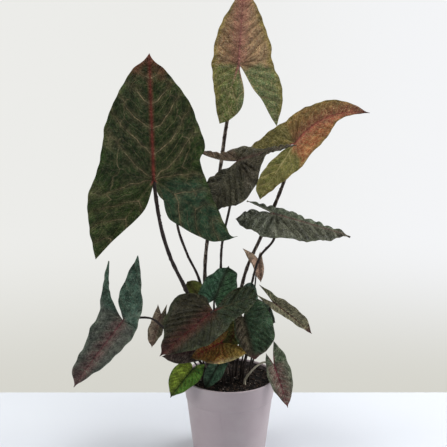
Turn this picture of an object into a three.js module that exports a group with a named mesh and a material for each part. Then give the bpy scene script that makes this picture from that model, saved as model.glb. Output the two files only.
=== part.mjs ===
// A potted Cyrtosperma johnstonii: arrow-shaped leaves on thin petioles, growing from the soil
// of a plain tapered pot. Millimetres, +Z up. The origin is the centre of the pot's flat base,
// and the side with the two widest leaves faces -Y.
import * as THREE from "three";
import { ParametricGeometry } from "three/addons/geometries/ParametricGeometry.js";
import { mergeGeometries, mergeVertices } from "three/addons/utils/BufferGeometryUtils.js";

// Driving dimensions of the pot and the soil
const potHeight = 108;
const rimRadius = 60;
const baseRadius = 47;
const potWall = 1.8;
const potFloor = 2.4;
const footChamfer = 1.5;
const rimLip = 2.6;
const rimRounding = 0.8;
const bandHeight = 28;
const bandStep = 0.7;
const soilDepthBelowRim = 4;
const soilCrown = 3;
const seatGap = 0.3;
const potSides = 56;
const soilSides = 36;

// Driving dimensions that all leaves share
const bladeThickness = 1.2;
const midribRounding = 2;
const sideSag = 0.04;
const usualHalfWidth = 0.4;
const usualTurn = { start: 6, end: -6 };
const usualLobeDroop = 0.06;
const rowsAlongMidrib = 6;
const rowsAlongLobe = 5;
const columnsAcross = 3;
const lastShoulder = 0.7;
const shoulderStep = 0.01;
const mergeDistance = 0.01;
const petioleSides = 3;
const petioleSteps = 10;
const petioleSprout = 6;

// Each leaf: the junction is where petiole, midrib and lobes meet. From there the midrib points
// to the compass heading (degrees from +X towards +Y) and rises above the horizontal, and roll
// turns the upper side about it. Left and right are as seen from above, looking to the tip.
// Margin points are [distance along the midrib, distance from it], from the leaf's tip past the
// shoulder to the lobe's tip, and inner points lead back from there to the junction.
// fold lifts each half above the midrib's plane. lobeFold gives a lobe another fold, which begins
// where turn says. droop bends the tip down, lobeDroop bends the lobes down, and bow swings the
// middle of the midrib to the left.
const leaves = [
  {
    name: "tall_front_left", junction: [-90, -52, 373], heading: 108, rise: 85, roll: 15, length: 148,
    fold: { left: 9, right: 12 }, droop: 0.08,
    left: {
      outer: [[137, 14], [105, 37], [68, 54], [47, 58], [11, 67], [-13, 77], [-33, 80], [-73, 76]],
      tip: [-92, 73],
      inner: [[-70, 51], [-48, 25], [-33, 11], [-13, 3]],
    },
    right: {
      outer: [[129, 17], [94, 44], [62, 56], [39, 63], [21, 57], [1, 62], [-28, 73], [-65, 89]],
      tip: [-69, 99],
      inner: [[-74, 67], [-52, 25], [-40, 14], [-13, 9]],
    },
    petiole: {
      foot: [-17, -8],
      bends: [[-83, -46, 316], [-72, -38, 274], [-54, -27, 230], [-41, -20, 192]],
      width: 5.2,
    },
  },
  {
    name: "tall_top", junction: [11, 18, 505], heading: 66, rise: 81, roll: -24, length: 94,
    fold: { left: 10, right: 14 }, droop: 0.08,
    left: {
      outer: [[71, 13], [52, 23], [30, 30], [-5, 33], [-30, 29], [-57, 24]],
      tip: [-74, 19],
      inner: [[-68, 6], [-53, -7], [-33, -9], [-11, -3]],
    },
    right: {
      outer: [[73, 17], [53, 27], [23, 39], [3, 42], [-15, 52], [-40, 58]],
      tip: [-73, 53],
      inner: [[-61, 44], [-42, 32], [-29, 20], [-9, 7]],
    },
    petiole: {
      foot: [-28, 3],
      bends: [[-4, 27, 429], [-11, 28, 379], [-22, 24, 319], [-31, 16, 256]],
      width: 5,
    },
  },
  {
    name: "tall_right_pink", junction: [83, 30, 406], heading: -14, rise: 26, roll: -64, length: 99,
    fold: { left: 10, right: 10 }, droop: 0.1, bow: 15,
    left: {
      outer: [[84, 11], [62, 20], [34, 24], [-1, 31], [-35, 26], [-62, 19]],
      tip: [-80, 10],
      inner: [[-57, 3], [-27, 3]],
    },
    right: {
      outer: [[84, 3], [60, 11], [38, 28], [7, 34], [-23, 43]],
      tip: [-66, 52],
      inner: [[-65, 32], [-45, 14], [-22, 4]],
    },
    petiole: { foot: [-4, 13], bends: [[68, 33, 352], [41, 28, 286], [21, 22, 240]], width: 4.8 },
  },
  {
    name: "tall_middle_dark", junction: [10, -22, 392], heading: 2, rise: 17, roll: -28, length: 73,
    fold: { left: -32, right: 28 }, droop: 0.05,
    lobeFold: { left: 0, right: -38 }, turn: { start: 36, end: 12 }, lobeDroop: { left: -0.75 },
    left: {
      outer: [[55, 12], [35, 20], [10, 25], [-15, 24]],
      tip: [-45, 16],
      inner: [[-30, 9], [-14, 4]],
    },
    right: {
      outer: [[58, 8], [34, 17], [22, 22], [12, 35], [-9, 49], [-34, 50]],
      tip: [-55, 41],
      inner: [[-51, 22], [-34, 11], [-15, 7]],
    },
    petiole: { foot: [-8, 3], bends: [[0, -10, 331], [-9, -6, 287], [-11, 2, 249]], width: 3.4 },
  },
  {
    name: "tall_right_level", junction: [57, 0, 321], heading: -4, rise: -15, roll: -14, length: 98,
    fold: { left: -10, right: -12 }, droop: 0.02,
    left: {
      outer: [[84, 7], [60, 10], [40, 15], [20, 24], [2, 28]],
      tip: [-38, 32],
      inner: [[-25, 15], [-10, 4]],
    },
    right: {
      outer: [[80, 15], [50, 33], [18, 43], [-9, 45], [-31, 38]],
      tip: [-46, 28],
      inner: [[-34, 11], [-14, 3]],
    },
    petiole: { foot: [9, 5], bends: [[56, 4, 288], [39, 6, 265], [29, 7, 231]], width: 3.4 },
  },
  {
    name: "tall_rear_left", junction: [-64, 12, 352], heading: 128, rise: 38, roll: 6, length: 104,
    fold: { left: 12, right: 12 }, droop: 0.2,
    both: { outer: [[84, 15], [50, 30], [15, 35], [-25, 36]], tip: [-58, 30], inner: [[-44, 14], [-20, 4]] },
    petiole: { foot: [-19, 0], bends: [[-66, 8, 307], [-54, 5, 269], [-38, 1, 234]], width: 3.6 },
  },
  {
    name: "hanging_left", junction: [-132, -38, 194], heading: -161, rise: -49, roll: 47, length: 103,
    fold: { left: 14, right: 12 }, droop: 0.08,
    left: {
      outer: [[83, 9], [57, 19], [25, 26], [-9, 22], [-36, 2], [-60, -22]],
      tip: [-74, -38],
      inner: [[-46, -32], [-18, -22], [-6, -7]],
    },
    right: {
      outer: [[86, 14], [57, 20], [26, 27], [-3, 38], [-29, 56]],
      tip: [-46, 63],
      inner: [[-19, 38], [-6, 16]],
    },
    petiole: { foot: [-26, -9], bends: [[-99, -34, 196], [-83, -28, 182], [-56, -20, 156]], width: 3 },
  },
  {
    name: "low_heart", junction: [-20, -48, 210], heading: -165, rise: -36, roll: 48, length: 86,
    fold: { left: 14, right: 8 }, droop: 0.08,
    left: {
      outer: [[57, 20], [33, 32], [12, 34], [-12, 29], [-38, 29]],
      tip: [-54, 21],
      inner: [[-54, 6], [-33, -5]],
    },
    right: { outer: [[70, 14], [58, 27], [38, 41], [20, 43]], tip: [4, 32], inner: [[-3, 20], [-1, 9]] },
    petiole: { foot: [-7, -19], bends: [[-16, -26, 186], [-10, -20, 140]], width: 3.6 },
  },
  {
    name: "low_teal", junction: [-19, -26, 217], heading: 43, rise: 58, roll: -45, length: 47,
    fold: { left: 10, right: 12 }, droop: 0.1,
    left: { outer: [[34, 13], [16, 22], [-2, 21]], tip: [-12, 17], inner: [[-8, 7]] },
    right: { outer: [[41, 13], [26, 20], [6, 24]], tip: [-12, 20], inner: [[-8, 8]] },
    petiole: { foot: [-14, -16], bends: [[-18, -20, 170]], width: 3 },
  },
  {
    name: "low_rust", junction: [-11, -38, 165], heading: -162, rise: -19, roll: 31, length: 42,
    fold: { left: 8, right: 5 }, droop: 0.08,
    left: { outer: [[34, 10], [18, 27], [-4, 32]], tip: [-21, 31], inner: [[-17, 16], [-8, 6]] },
    right: { outer: [[30, 8], [16, 13], [0, 15]], tip: [-16, 12], inner: [[-9, 4]] },
    petiole: { foot: [2, -21], bends: [[-2, -28, 136]], width: 2.6 },
  },
  {
    name: "low_round", junction: [17, -34, 197], heading: -45, rise: -69, roll: -33, length: 54,
    fold: { left: 12, right: 10 }, droop: 0.08,
    left: { outer: [[52, 12], [38, 29], [22, 34], [0, 33]], tip: [-18, 23], inner: [[-11, 7]] },
    right: { outer: [[45, 8], [29, 15], [10, 15]], tip: [-16, 9], inner: [[-8, 3]] },
    petiole: { foot: [14, -13], bends: [[22, -20, 150]], width: 3 },
  },
  {
    name: "rim_green", junction: [-46, -40, 131], heading: -165, rise: -48, roll: 45, length: 46,
    fold: { left: 12, right: 10 }, droop: 0.08,
    left: { outer: [[34, 7], [16, 15], [1, 18]], tip: [-15, 9], inner: [[-9, 2]] },
    right: { outer: [[35, 11], [22, 19], [10, 20]], tip: [-3, 15], inner: [[-4, 6]] },
    petiole: { foot: [-25, -20], bends: [[-36, -30, 122]], width: 2.4 },
  },
  {
    name: "rim_right", junction: [56, -30, 133], heading: -32, rise: -67, roll: -39, length: 58,
    fold: { left: 12, right: 12 }, droop: 0.08,
    left: { outer: [[42, 11], [19, 18], [-8, 17]], tip: [-28, 10], inner: [[-14, 4]] },
    right: { outer: [[45, 6], [25, 13], [4, 13]], tip: [-17, 5], inner: [[-8, 2]] },
    petiole: { foot: [20, -21], bends: [[42, -25, 134]], width: 2.6 },
  },
  {
    name: "right_striped", junction: [56, -2, 206], heading: -13, rise: -34, roll: -31, length: 63,
    fold: { left: 10, right: 10 }, droop: 0.08,
    left: { outer: [[48, 11], [23, 14], [1, 11]], tip: [-28, 10], inner: [[-10, 4]] },
    right: { outer: [[50, 5], [27, 8], [4, 11]], tip: [-24, 6], inner: [[-10, 3]] },
    petiole: { foot: [25, -6], bends: [[42, -10, 166]], width: 2.6 },
  },
  {
    name: "right_bronze", junction: [37, 18, 258], heading: -55, rise: -76, roll: -16, length: 30,
    fold: { left: 12, right: 12 }, droop: 0.08,
    left: { outer: [[22, 4], [8, 6]], tip: [-9, 4], inner: [[-5, 1.5]] },
    right: { outer: [[22, 5], [8, 9]], tip: [-17, 20], inner: [[-8, 6]] },
    petiole: { foot: [15, 14], bends: [[30, 22, 190]], width: 2 },
  },
  {
    name: "left_small", junction: [-87, -10, 193], heading: -172, rise: -72, roll: 52, length: 46,
    fold: { left: 12, right: 12 }, droop: 0.08,
    left: { outer: [[34, 6], [19, 11], [3, 10]], tip: [-15, 4], inner: [[-7, 2]] },
    right: { outer: [[37, 8], [26, 11], [10, 10]], tip: [-10, 8], inner: [[-4, 3]] },
    petiole: { foot: [-33, -13], bends: [[-70, -10, 166]], width: 2.2 },
  },
  {
    name: "low_rear_right", junction: [33, 6, 191], heading: -4, rise: -25, roll: -40, length: 30,
    fold: { left: 8, right: 8 }, droop: 0.08,
    left: { outer: [[17, 16], [-1, 20]], tip: [-14, 12], inner: [[-7, 4]] },
    right: { outer: [[22, 9], [8, 13]], tip: [-8, 10], inner: [[-5, 3]] },
    petiole: { foot: [18, -4], bends: [[26, 4, 150]], width: 2.4 },
  },
  {
    name: "rim_dark", junction: [-12, -36, 139], heading: -152, rise: -55, roll: 46, length: 37,
    fold: { left: 12, right: 12 }, droop: 0.08,
    left: { outer: [[28, 8], [13, 12]], tip: [-5, 10], inner: [[-3, 4]] },
    right: { outer: [[27, 9], [12, 11]], tip: [-5, 8], inner: [[-3, 3]] },
    petiole: { foot: [-8, -31], bends: [[-9, -33, 120]], width: 2 },
  },
  {
    name: "low_mottled", junction: [11, -18, 186], heading: -146, rise: -64, roll: 42, length: 36,
    fold: { left: 10, right: 10 }, droop: 0.08,
    left: { outer: [[29, 9], [13, 13]], tip: [-7, 9], inner: [[-4, 3]] },
    right: { outer: [[29, 11], [13, 17]], tip: [-8, 14], inner: [[-4, 4]] },
    petiole: { foot: [4, -9], bends: [[8, -12, 150]], width: 2.2 },
  },
  {
    name: "low_pale_teal", junction: [22, -22, 216], heading: 68, rise: 49, roll: -32, length: 26,
    fold: { left: 10, right: 10 }, droop: 0.08,
    both: { outer: [[17, 9], [3, 12]], tip: [-9, 9], inner: [[-5, 3]] },
    petiole: { foot: [25, -14], bends: [[30, -20, 170]], width: 2.2 },
  },
  {
    name: "low_shaded", junction: [-30, -28, 153], heading: -153, rise: 0, roll: 75, length: 58,
    fold: { left: 8, right: 8 }, droop: 0.08,
    left: { outer: [[50, 7], [39, 12], [19, 13]], tip: [-6, 10], inner: [[-3, 3]] },
    right: { outer: [[42, 4], [24, 7]], tip: [-5, 6], inner: [[-3, 2]] },
    petiole: { foot: [-20, -26], bends: [[-26, -31, 128]], width: 2 },
  },
  {
    name: "low_olive", junction: [-37, -10, 216], heading: 160, rise: 47, roll: 55, length: 26,
    fold: { left: 8, right: 8 }, droop: 0.08,
    both: { outer: [[18, 10], [3, 14]], tip: [-7, 12], inner: [[-4, 4]] },
    petiole: { foot: [-33, 0], bends: [[-36, -6, 170]], width: 2.2 },
  },
];

// Turns degrees into radians.
const radians = (degrees) => THREE.MathUtils.degToRad(degrees);

// The leaf's own axes: along the midrib, to its left, and out of its upper side.
function leafAxes(leaf) {
  const heading = radians(leaf.heading);
  const rise = radians(leaf.rise);
  const along = new THREE.Vector3(
    Math.cos(rise) * Math.cos(heading),
    Math.cos(rise) * Math.sin(heading),
    Math.sin(rise),
  );
  const upper = new THREE.Vector3(
    -Math.sin(rise) * Math.cos(heading),
    -Math.sin(rise) * Math.sin(heading),
    Math.cos(rise),
  );
  upper.applyAxisAngle(along, -radians(leaf.roll));
  const left = new THREE.Vector3().crossVectors(upper, along);
  return { along, left, upper };
}

// Bends a point of the flat outline into the folded, drooping blade and puts it in place.
function placeOnBlade(leaf, axes, along, across, target) {
  const side = across > 0 ? "left" : "right";
  const frontFold = leaf.fold[side];
  const rearFold = leaf.lobeFold?.[side] ?? frontFold;
  const turn = leaf.turn ?? usualTurn;
  const inFront = THREE.MathUtils.smoothstep(along, turn.end, turn.start);
  const fold = radians(THREE.MathUtils.lerp(rearFold, frontFold, inFront));
  const lift = Math.hypot(across, midribRounding) - midribRounding;
  const halfWidth = leaf.length * usualHalfWidth;
  const bend = along > 0 ? leaf.droop : leaf.lobeDroop?.[side] ?? usualLobeDroop;
  const share = THREE.MathUtils.clamp(along / leaf.length, 0, 1);
  const sideways = 4 * (leaf.bow ?? 0) * share * (1 - share);
  const height = lift * Math.sin(fold)
    - sideSag * across * across / halfWidth
    - bend * along * along / leaf.length;
  return target
    .fromArray(leaf.junction)
    .addScaledVector(axes.along, along)
    .addScaledVector(axes.left, across * Math.cos(fold) + sideways)
    .addScaledVector(axes.upper, height);
}

// One half of the blade: straight rows run from the midrib to the outer margin, and behind the
// junction from the lobe's inner margin to its outer margin.
function halfBlade(leaf, axes, side) {
  const outline = leaf[side] ?? leaf.both;
  const sign = side === "left" ? 1 : -1;
  const toPoint = ([along, across]) => new THREE.Vector2(along, across);
  const outer = new THREE.SplineCurve([[leaf.length, 0], ...outline.outer, outline.tip].map(toPoint));
  const inner = new THREE.SplineCurve([[0, 0], ...[...outline.inner].reverse(), outline.tip].map(toPoint));
  let shoulder = 0;
  while (shoulder < lastShoulder && outer.getPointAt(shoulder).x > 0) shoulder += shoulderStep;
  const frontShare = rowsAlongMidrib / (rowsAlongMidrib + rowsAlongLobe);
  const surface = (row, column, target) => {
    const onMidrib = row <= frontShare;
    const part = Math.min(onMidrib ? row / frontShare : (row - frontShare) / (1 - frontShare), 1);
    const onMargin = onMidrib ? part * shoulder : shoulder + part * (1 - shoulder);
    const inside = onMidrib ? new THREE.Vector2(leaf.length * (1 - part), 0) : inner.getPointAt(part);
    const outside = outer.getPointAt(Math.min(onMargin, 1));
    inside.lerp(outside, column);
    placeOnBlade(leaf, axes, inside.x, inside.y * sign, target);
  };
  const half = new ParametricGeometry(surface, rowsAlongMidrib + rowsAlongLobe, columnsAcross);
  const index = [...half.index.array];
  half.setIndex(side === "left" ? index : index.reverse());
  return half;
}

// Gives an open surface its thickness: a shifted copy on each side and a wall round its edge.
function thicken(surface, thickness) {
  const sheet = bareMesh(surface);
  const corners = [...sheet.index.array];
  const triangles = [];
  for (let i = 0; i < corners.length; i += 3) {
    const [a, b, c] = corners.slice(i, i + 3);
    if (a !== b && b !== c && c !== a) triangles.push([a, b, c]);
  }
  sheet.setIndex(triangles.flat());
  sheet.computeVertexNormals();
  const { position, normal } = sheet.attributes;
  const count = position.count;
  const points = new Float32Array(count * 6);
  for (let i = 0; i < count; i += 1) {
    const middle = new THREE.Vector3().fromBufferAttribute(position, i);
    const out = new THREE.Vector3().fromBufferAttribute(normal, i).multiplyScalar(thickness / 2);
    middle.clone().add(out).toArray(points, i * 3);
    middle.clone().sub(out).toArray(points, (count + i) * 3);
  }
  const edges = new Set(triangles.flatMap(([a, b, c]) => [`${a} ${b}`, `${b} ${c}`, `${c} ${a}`]));
  const faces = triangles.flatMap(([a, b, c]) => [a, b, c, count + c, count + b, count + a]);
  for (const edge of edges) {
    const [a, b] = edge.split(" ").map(Number);
    if (!edges.has(`${b} ${a}`)) faces.push(a, count + a, count + b, a, count + b, b);
  }
  const solid = new THREE.BufferGeometry();
  solid.setAttribute("position", new THREE.BufferAttribute(points, 3));
  solid.setIndex(faces);
  solid.computeVertexNormals();
  return solid;
}

// A geometry with positions only and its shared vertices joined.
function bareMesh(geometry) {
  const bare = geometry.clone();
  bare.deleteAttribute("normal");
  bare.deleteAttribute("uv");
  return mergeVertices(bare, mergeDistance);
}

function bladeGeometry(leaf, axes) {
  const halves = ["left", "right"].map((side) => halfBlade(leaf, axes, side));
  return thicken(mergeGeometries(halves), bladeThickness);
}

// The petiole rises from the soil through its bends and ends under the junction.
function petioleGeometry(leaf, axes) {
  const { foot, bends, width } = leaf.petiole;
  const radius = width / 2;
  const junction = new THREE.Vector3().fromArray(leaf.junction);
  const route = [...bends].reverse().map((bend) => new THREE.Vector3().fromArray(bend));
  const arrival = junction.clone().sub(route[route.length - 1]).normalize();
  const slant = Math.sqrt(1 - arrival.dot(axes.upper) ** 2);
  const steepest = Math.min(...Object.values({ ...leaf.fold, ...leaf.lobeFold }), 0);
  const hang = radius * Math.sin(radians(-steepest));
  const clearance = bladeThickness / 2 + seatGap + radius * slant + hang;
  const top = junction.addScaledVector(axes.upper, -clearance);
  const bottom = new THREE.Vector3(foot[0], foot[1], soilHeightAt(foot) + seatGap);
  const sprout = bottom.clone().setZ(bottom.z + petioleSprout);
  const path = new THREE.CatmullRomCurve3([bottom, sprout, ...route, top], false, "centripetal");
  const section = new THREE.Shape().absarc(0, 0, radius, 0, Math.PI * 2);
  return new THREE.ExtrudeGeometry(section, {
    extrudePath: path,
    steps: petioleSteps,
    curveSegments: petioleSides,
    bevelEnabled: false,
  });
}

// The soil's surface is a shallow mound.
const soilEdge = potHeight - soilDepthBelowRim - soilCrown;
const soilRadius = innerRadiusAt(soilEdge) - seatGap;

function soilHeightAt([x, y]) {
  const share = Math.min(1, Math.hypot(x, y) / soilRadius);
  return soilEdge + soilCrown * (1 - share * share);
}

// The outside of the pot tapers evenly from the rim to the base.
function outerRadiusAt(height) {
  return THREE.MathUtils.lerp(baseRadius, rimRadius, height / potHeight);
}

function innerRadiusAt(height) {
  return outerRadiusAt(height) - potWall;
}

function latheFrom(profile, sides) {
  const geometry = new THREE.LatheGeometry(profile.map(([r, z]) => new THREE.Vector2(r, z)), sides);
  return geometry.rotateX(Math.PI / 2);
}

function potGeometry() {
  const bandBottom = potHeight - bandHeight;
  return latheFrom([
    [0, 0],
    [baseRadius - footChamfer, 0],
    [outerRadiusAt(footChamfer) - bandStep / 2, footChamfer],
    [outerRadiusAt(bandBottom) - bandStep, bandBottom - bandStep],
    [outerRadiusAt(bandBottom), bandBottom],
    [outerRadiusAt(potHeight - rimRounding), potHeight - rimRounding],
    [rimRadius - rimRounding, potHeight],
    [rimRadius - rimLip + rimRounding, potHeight],
    [rimRadius - rimLip, potHeight - rimRounding],
    [innerRadiusAt(potHeight - rimLip), potHeight - rimLip],
    [innerRadiusAt(potFloor), potFloor],
    [0, potFloor],
  ], potSides);
}

function soilGeometry() {
  const floor = potFloor + seatGap;
  const rings = [1, 0.72, 0.4];
  return latheFrom([
    [0, floor],
    [innerRadiusAt(floor) - seatGap, floor],
    ...rings.map((share) => [soilRadius * share, soilHeightAt([soilRadius * share, 0])]),
    [0, soilEdge + soilCrown],
  ], soilSides);
}

const materials = {
  pot: { color: 0xa5969b, roughness: 0.55 },
  soil: { color: 0x2a211c, roughness: 0.95 },
  blade: { color: 0x3f4f3a, roughness: 0.5 },
  petiole: { color: 0x2a2220, roughness: 0.7 },
};

const plant = new THREE.Group();

function addPiece(name, geometry, look) {
  const material = new THREE.MeshStandardMaterial({ metalness: 0, ...look });
  const piece = new THREE.Mesh(geometry, material);
  piece.name = name;
  plant.add(piece);
}

addPiece("pot", potGeometry(), materials.pot);
addPiece("soil", soilGeometry(), materials.soil);
for (const leaf of leaves) {
  const axes = leafAxes(leaf);
  addPiece(`leaf_${leaf.name}`, bladeGeometry(leaf, axes), materials.blade);
  addPiece(`petiole_${leaf.name}`, petioleGeometry(leaf, axes), materials.petiole);
}

export default plant;
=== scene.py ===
import math

import bpy
import numpy as np
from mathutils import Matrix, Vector


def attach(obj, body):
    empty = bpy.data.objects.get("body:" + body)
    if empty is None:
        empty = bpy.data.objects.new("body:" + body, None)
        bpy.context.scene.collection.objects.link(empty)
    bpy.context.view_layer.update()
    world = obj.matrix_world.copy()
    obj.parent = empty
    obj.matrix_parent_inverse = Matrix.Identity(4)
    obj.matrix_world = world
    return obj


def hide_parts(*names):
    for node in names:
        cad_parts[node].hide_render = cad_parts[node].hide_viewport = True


# A potted arum-family house plant: arrow-shaped leaves on thin prickly petioles in a tapered pot.
# Lengths are millimetres until a mesh is made, and +Z is up. A colour is a screen colour, 0 to 255.
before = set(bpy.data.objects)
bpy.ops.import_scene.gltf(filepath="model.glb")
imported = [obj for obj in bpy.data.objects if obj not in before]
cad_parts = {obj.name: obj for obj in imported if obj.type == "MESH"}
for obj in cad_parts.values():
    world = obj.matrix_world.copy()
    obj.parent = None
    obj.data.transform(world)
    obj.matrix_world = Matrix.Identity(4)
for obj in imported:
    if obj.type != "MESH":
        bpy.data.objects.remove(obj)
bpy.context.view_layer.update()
scene = bpy.context.scene
scene.view_settings.view_transform = "Standard"
mm = 0.001


# Number helpers


def smooth(values, low, high):  # 0 below low, 1 above high, and 3t^2 - 2t^3 between
    share = np.clip((values - low) / (high - low), 0, 1)
    return share * share * (3 - 2 * share)


def waves(x, y, seed, size, count=7):  # sines in random directions, wavelength near size, about -1 to 1
    draw = np.random.default_rng(seed)
    turn = draw.uniform(0, 2 * math.pi, count)
    pitch = 2 * math.pi / (size * draw.uniform(0.7, 1.5, count))
    start = draw.uniform(0, 2 * math.pi, count)
    total = sum(
        np.sin(pitch[i] * (x * math.cos(turn[i]) + y * math.sin(turn[i])) + start[i])
        for i in range(count)
    )
    return total / math.sqrt(2 * count)


def screenColour(red, green, blue):  # a screen colour as linear light
    screen = np.array([red, green, blue]) / 255
    linear = np.where(screen <= 0.04045, screen / 12.92, ((screen + 0.055) / 1.055) ** 2.4)
    return (*linear.tolist(), 1.0)


def evenSpline(points, shares):  # uniform Catmull-Rom through 2D points, read at shares of its length
    points = np.array(points, float)
    last = len(points) - 1
    place = np.linspace(0, last, last * 40 + 1)
    step = np.minimum(place.astype(int), last - 1)
    t = (place - step)[:, None]
    before, start = points[np.maximum(step - 1, 0)], points[step]
    end, after = points[step + 1], points[np.minimum(step + 2, last)]
    leave, arrive = (end - before) / 2, (after - start) / 2
    dense = (2 * start - 2 * end + leave + arrive) * t**3
    dense = dense + (3 * end - 3 * start - 2 * leave - arrive) * t**2 + leave * t + start
    run = np.concatenate([[0], np.cumsum(np.hypot(*np.diff(dense, axis=0).T))])
    wanted = np.asarray(shares) * run[-1]
    return np.stack([np.interp(wanted, run, dense[:, k]) for k in range(2)], axis=-1), run[-1]


def centripetalRoute(points, spacing):  # centripetal Catmull-Rom through 3D points, evenly spaced
    points = np.array(points, float)
    ends = np.vstack([2 * points[0] - points[1], points, 2 * points[-1] - points[-2]])
    pieces = []
    t = np.linspace(0, 1, 40, endpoint=False)[:, None]
    for i in range(len(points) - 1):
        a, b, c, d = ends[i:i + 4]
        ab, bc, cd = (math.sqrt(np.linalg.norm(q - p)) for p, q in ((a, b), (b, c), (c, d)))
        leave = ((b - a) / ab - (c - a) / (ab + bc) + (c - b) / bc) * bc
        arrive = ((c - b) / bc - (d - b) / (bc + cd) + (d - c) / cd) * bc
        cubic = (2 * b - 2 * c + leave + arrive) * t**3
        pieces.append(cubic + (3 * c - 3 * b - 2 * leave - arrive) * t**2 + leave * t + b)
    dense = np.vstack([*pieces, points[-1:]])
    run = np.concatenate([[0], np.cumsum(np.linalg.norm(np.diff(dense, axis=0), axis=1))])
    wanted = np.linspace(0, run[-1], max(8, int(run[-1] / spacing)) + 1)
    return np.stack([np.interp(wanted, run, dense[:, k]) for k in range(3)], axis=-1), wanted


# Mesh helpers


def meshFrom(name, points, faces, sharpAngle=40):  # points in mm; each row of faces is one polygon
    mesh = bpy.data.meshes.new(name)
    mesh.vertices.add(len(points))
    mesh.vertices.foreach_set("co", (points * mm).astype(np.float32).ravel())
    mesh.loops.add(faces.size)
    mesh.loops.foreach_set("vertex_index", faces.astype(np.int32).ravel())
    mesh.polygons.add(len(faces))
    mesh.polygons.foreach_set("loop_start", np.arange(0, faces.size, faces.shape[1], dtype=np.int32))
    mesh.update(calc_edges=True)
    mesh.shade_smooth()
    mesh.set_sharp_from_angle(angle=math.radians(sharpAngle))
    return mesh


def addAttribute(mesh, name, values):  # a number or a triple for each point
    isTriple = values.ndim == 2
    layer = mesh.attributes.new(name, "FLOAT_VECTOR" if isTriple else "FLOAT", "POINT")
    layer.data.foreach_set("vector" if isTriple else "value", values.astype(np.float32).ravel())


def addPiece(name, mesh, material, node):
    piece = bpy.data.objects.new(name, mesh)
    scene.collection.objects.link(piece)
    mesh.materials.append(material)
    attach(piece, "root")
    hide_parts(node)
    return piece


def gridFaces(rows, columns, wrap=False):  # quads of a grid of points, counted row by row
    across = np.arange(columns if wrap else columns - 1)
    row, column = np.meshgrid(np.arange(rows - 1), across, indexing="ij")
    beside = (column + 1) % columns
    corners = [row * columns + column, row * columns + beside]
    corners += [(row + 1) * columns + beside, (row + 1) * columns + column]
    return np.stack(corners, axis=-1).reshape(-1, 4)


def triangulate(quads):  # two triangles from each quad, without those that have no area
    triangles = np.vstack([quads[:, [0, 1, 2]], quads[:, [0, 2, 3]]])
    a, b, c = triangles.T
    return triangles[(a != b) & (b != c) & (c != a)]


def tubeFaces(rings, sides, flip=False):  # rings of points, then one more point for each closed end
    around = np.arange(sides)
    beside = (around + 1) % sides
    last, lid = (rings - 1) * sides, 0 * around + rings * sides
    start = np.stack([beside, around, lid], axis=-1)
    end = np.stack([last + around, last + beside, lid + 1], axis=-1)
    faces = np.vstack([triangulate(gridFaces(rings, sides, wrap=True)), start, end])
    return faces[:, ::-1] if flip else faces


def pointNormals(points, triangles):  # the area-weighted mean of the faces round each point
    a, b, c = (points[triangles[:, k]] for k in range(3))
    faceNormals = np.cross(b - a, c - a)
    normals = np.zeros_like(points)
    for k in range(3):
        np.add.at(normals, triangles[:, k], faceNormals)
    return normals / np.maximum(np.linalg.norm(normals, axis=1, keepdims=True), 1e-12)


# Node helpers


def newMaterial(name):
    material = bpy.data.materials.new(name)
    material.use_nodes = True
    return material, material.node_tree, material.node_tree.nodes["Principled BSDF"]


def plug(tree, node, inputs):  # sets each named or numbered input to a value or a link
    for key, source in inputs.items():
        if isinstance(source, bpy.types.NodeSocket):
            tree.links.new(source, node.inputs[key])
        else:
            node.inputs[key].default_value = source


def addNode(tree, kind, inputs=None, **settings):
    node = tree.nodes.new(kind)
    for key, value in settings.items():
        setattr(node, key, value)
    plug(tree, node, inputs or {})
    return node


def calc(tree, operation, *values):
    return addNode(tree, "ShaderNodeMath", dict(enumerate(values)), operation=operation).outputs[0]


def plus(tree, first, second):
    return calc(tree, "ADD", first, second)


def minus(tree, first, second):
    return calc(tree, "SUBTRACT", first, second)


def times(tree, first, *others):  # the product of two or more values
    for other in others:
        first = calc(tree, "MULTIPLY", first, other)
    return first


def over(tree, first, second):
    return calc(tree, "DIVIDE", first, second)


def magnitude(tree, value):
    return calc(tree, "ABSOLUTE", value)


def ramp(tree, value, low, high, first=0.0, last=1.0):  # smooth step from first to last
    inputs = {0: value, 1: low, 2: high, 3: first, 4: last}
    return addNode(tree, "ShaderNodeMapRange", inputs, interpolation_type="SMOOTHSTEP").outputs[0]


def blendColour(tree, share, first, second, mode="MIX"):
    inputs = {0: share, 6: first, 7: second}
    return addNode(tree, "ShaderNodeMix", inputs, data_type="RGBA", blend_type=mode).outputs[2]


def blendAmount(tree, share, first, second):
    return addNode(tree, "ShaderNodeMix", {0: share, 2: first, 3: second}, data_type="FLOAT").outputs[0]


def noise(tree, place, scale, detail=2.0, roughness=0.5):
    inputs = {"Vector": place, "Scale": scale, "Detail": detail, "Roughness": roughness}
    return addNode(tree, "ShaderNodeTexNoise", inputs).outputs[0]


def triple(tree, x, y, z=0.0):
    return addNode(tree, "ShaderNodeCombineXYZ", {0: x, 1: y, 2: z}).outputs[0]


def split(tree, vector):
    return addNode(tree, "ShaderNodeSeparateXYZ", {0: vector}).outputs


def objectPlace(tree):
    return addNode(tree, "ShaderNodeTexCoord").outputs["Object"]


def bump(tree, strength, distance, height):  # distance in metres
    inputs = {"Strength": strength, "Distance": distance, "Height": height}
    return addNode(tree, "ShaderNodeBump", inputs).outputs[0]


def attribute(tree, name, output="Vector"):
    return addNode(tree, "ShaderNodeAttribute", attribute_name=name).outputs[output]


def newGroup(name, inputs, outputs):  # inputs and outputs: {socket name: kind}
    tree = bpy.data.node_groups.new(name, "ShaderNodeTree")
    for direction, sockets in (("INPUT", inputs), ("OUTPUT", outputs)):
        for socket, kind in sockets.items():
            tree.interface.new_socket(name=socket, in_out=direction, socket_type="NodeSocket" + kind)
    return tree, tree.nodes.new("NodeGroupInput").outputs, tree.nodes.new("NodeGroupOutput")


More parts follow.
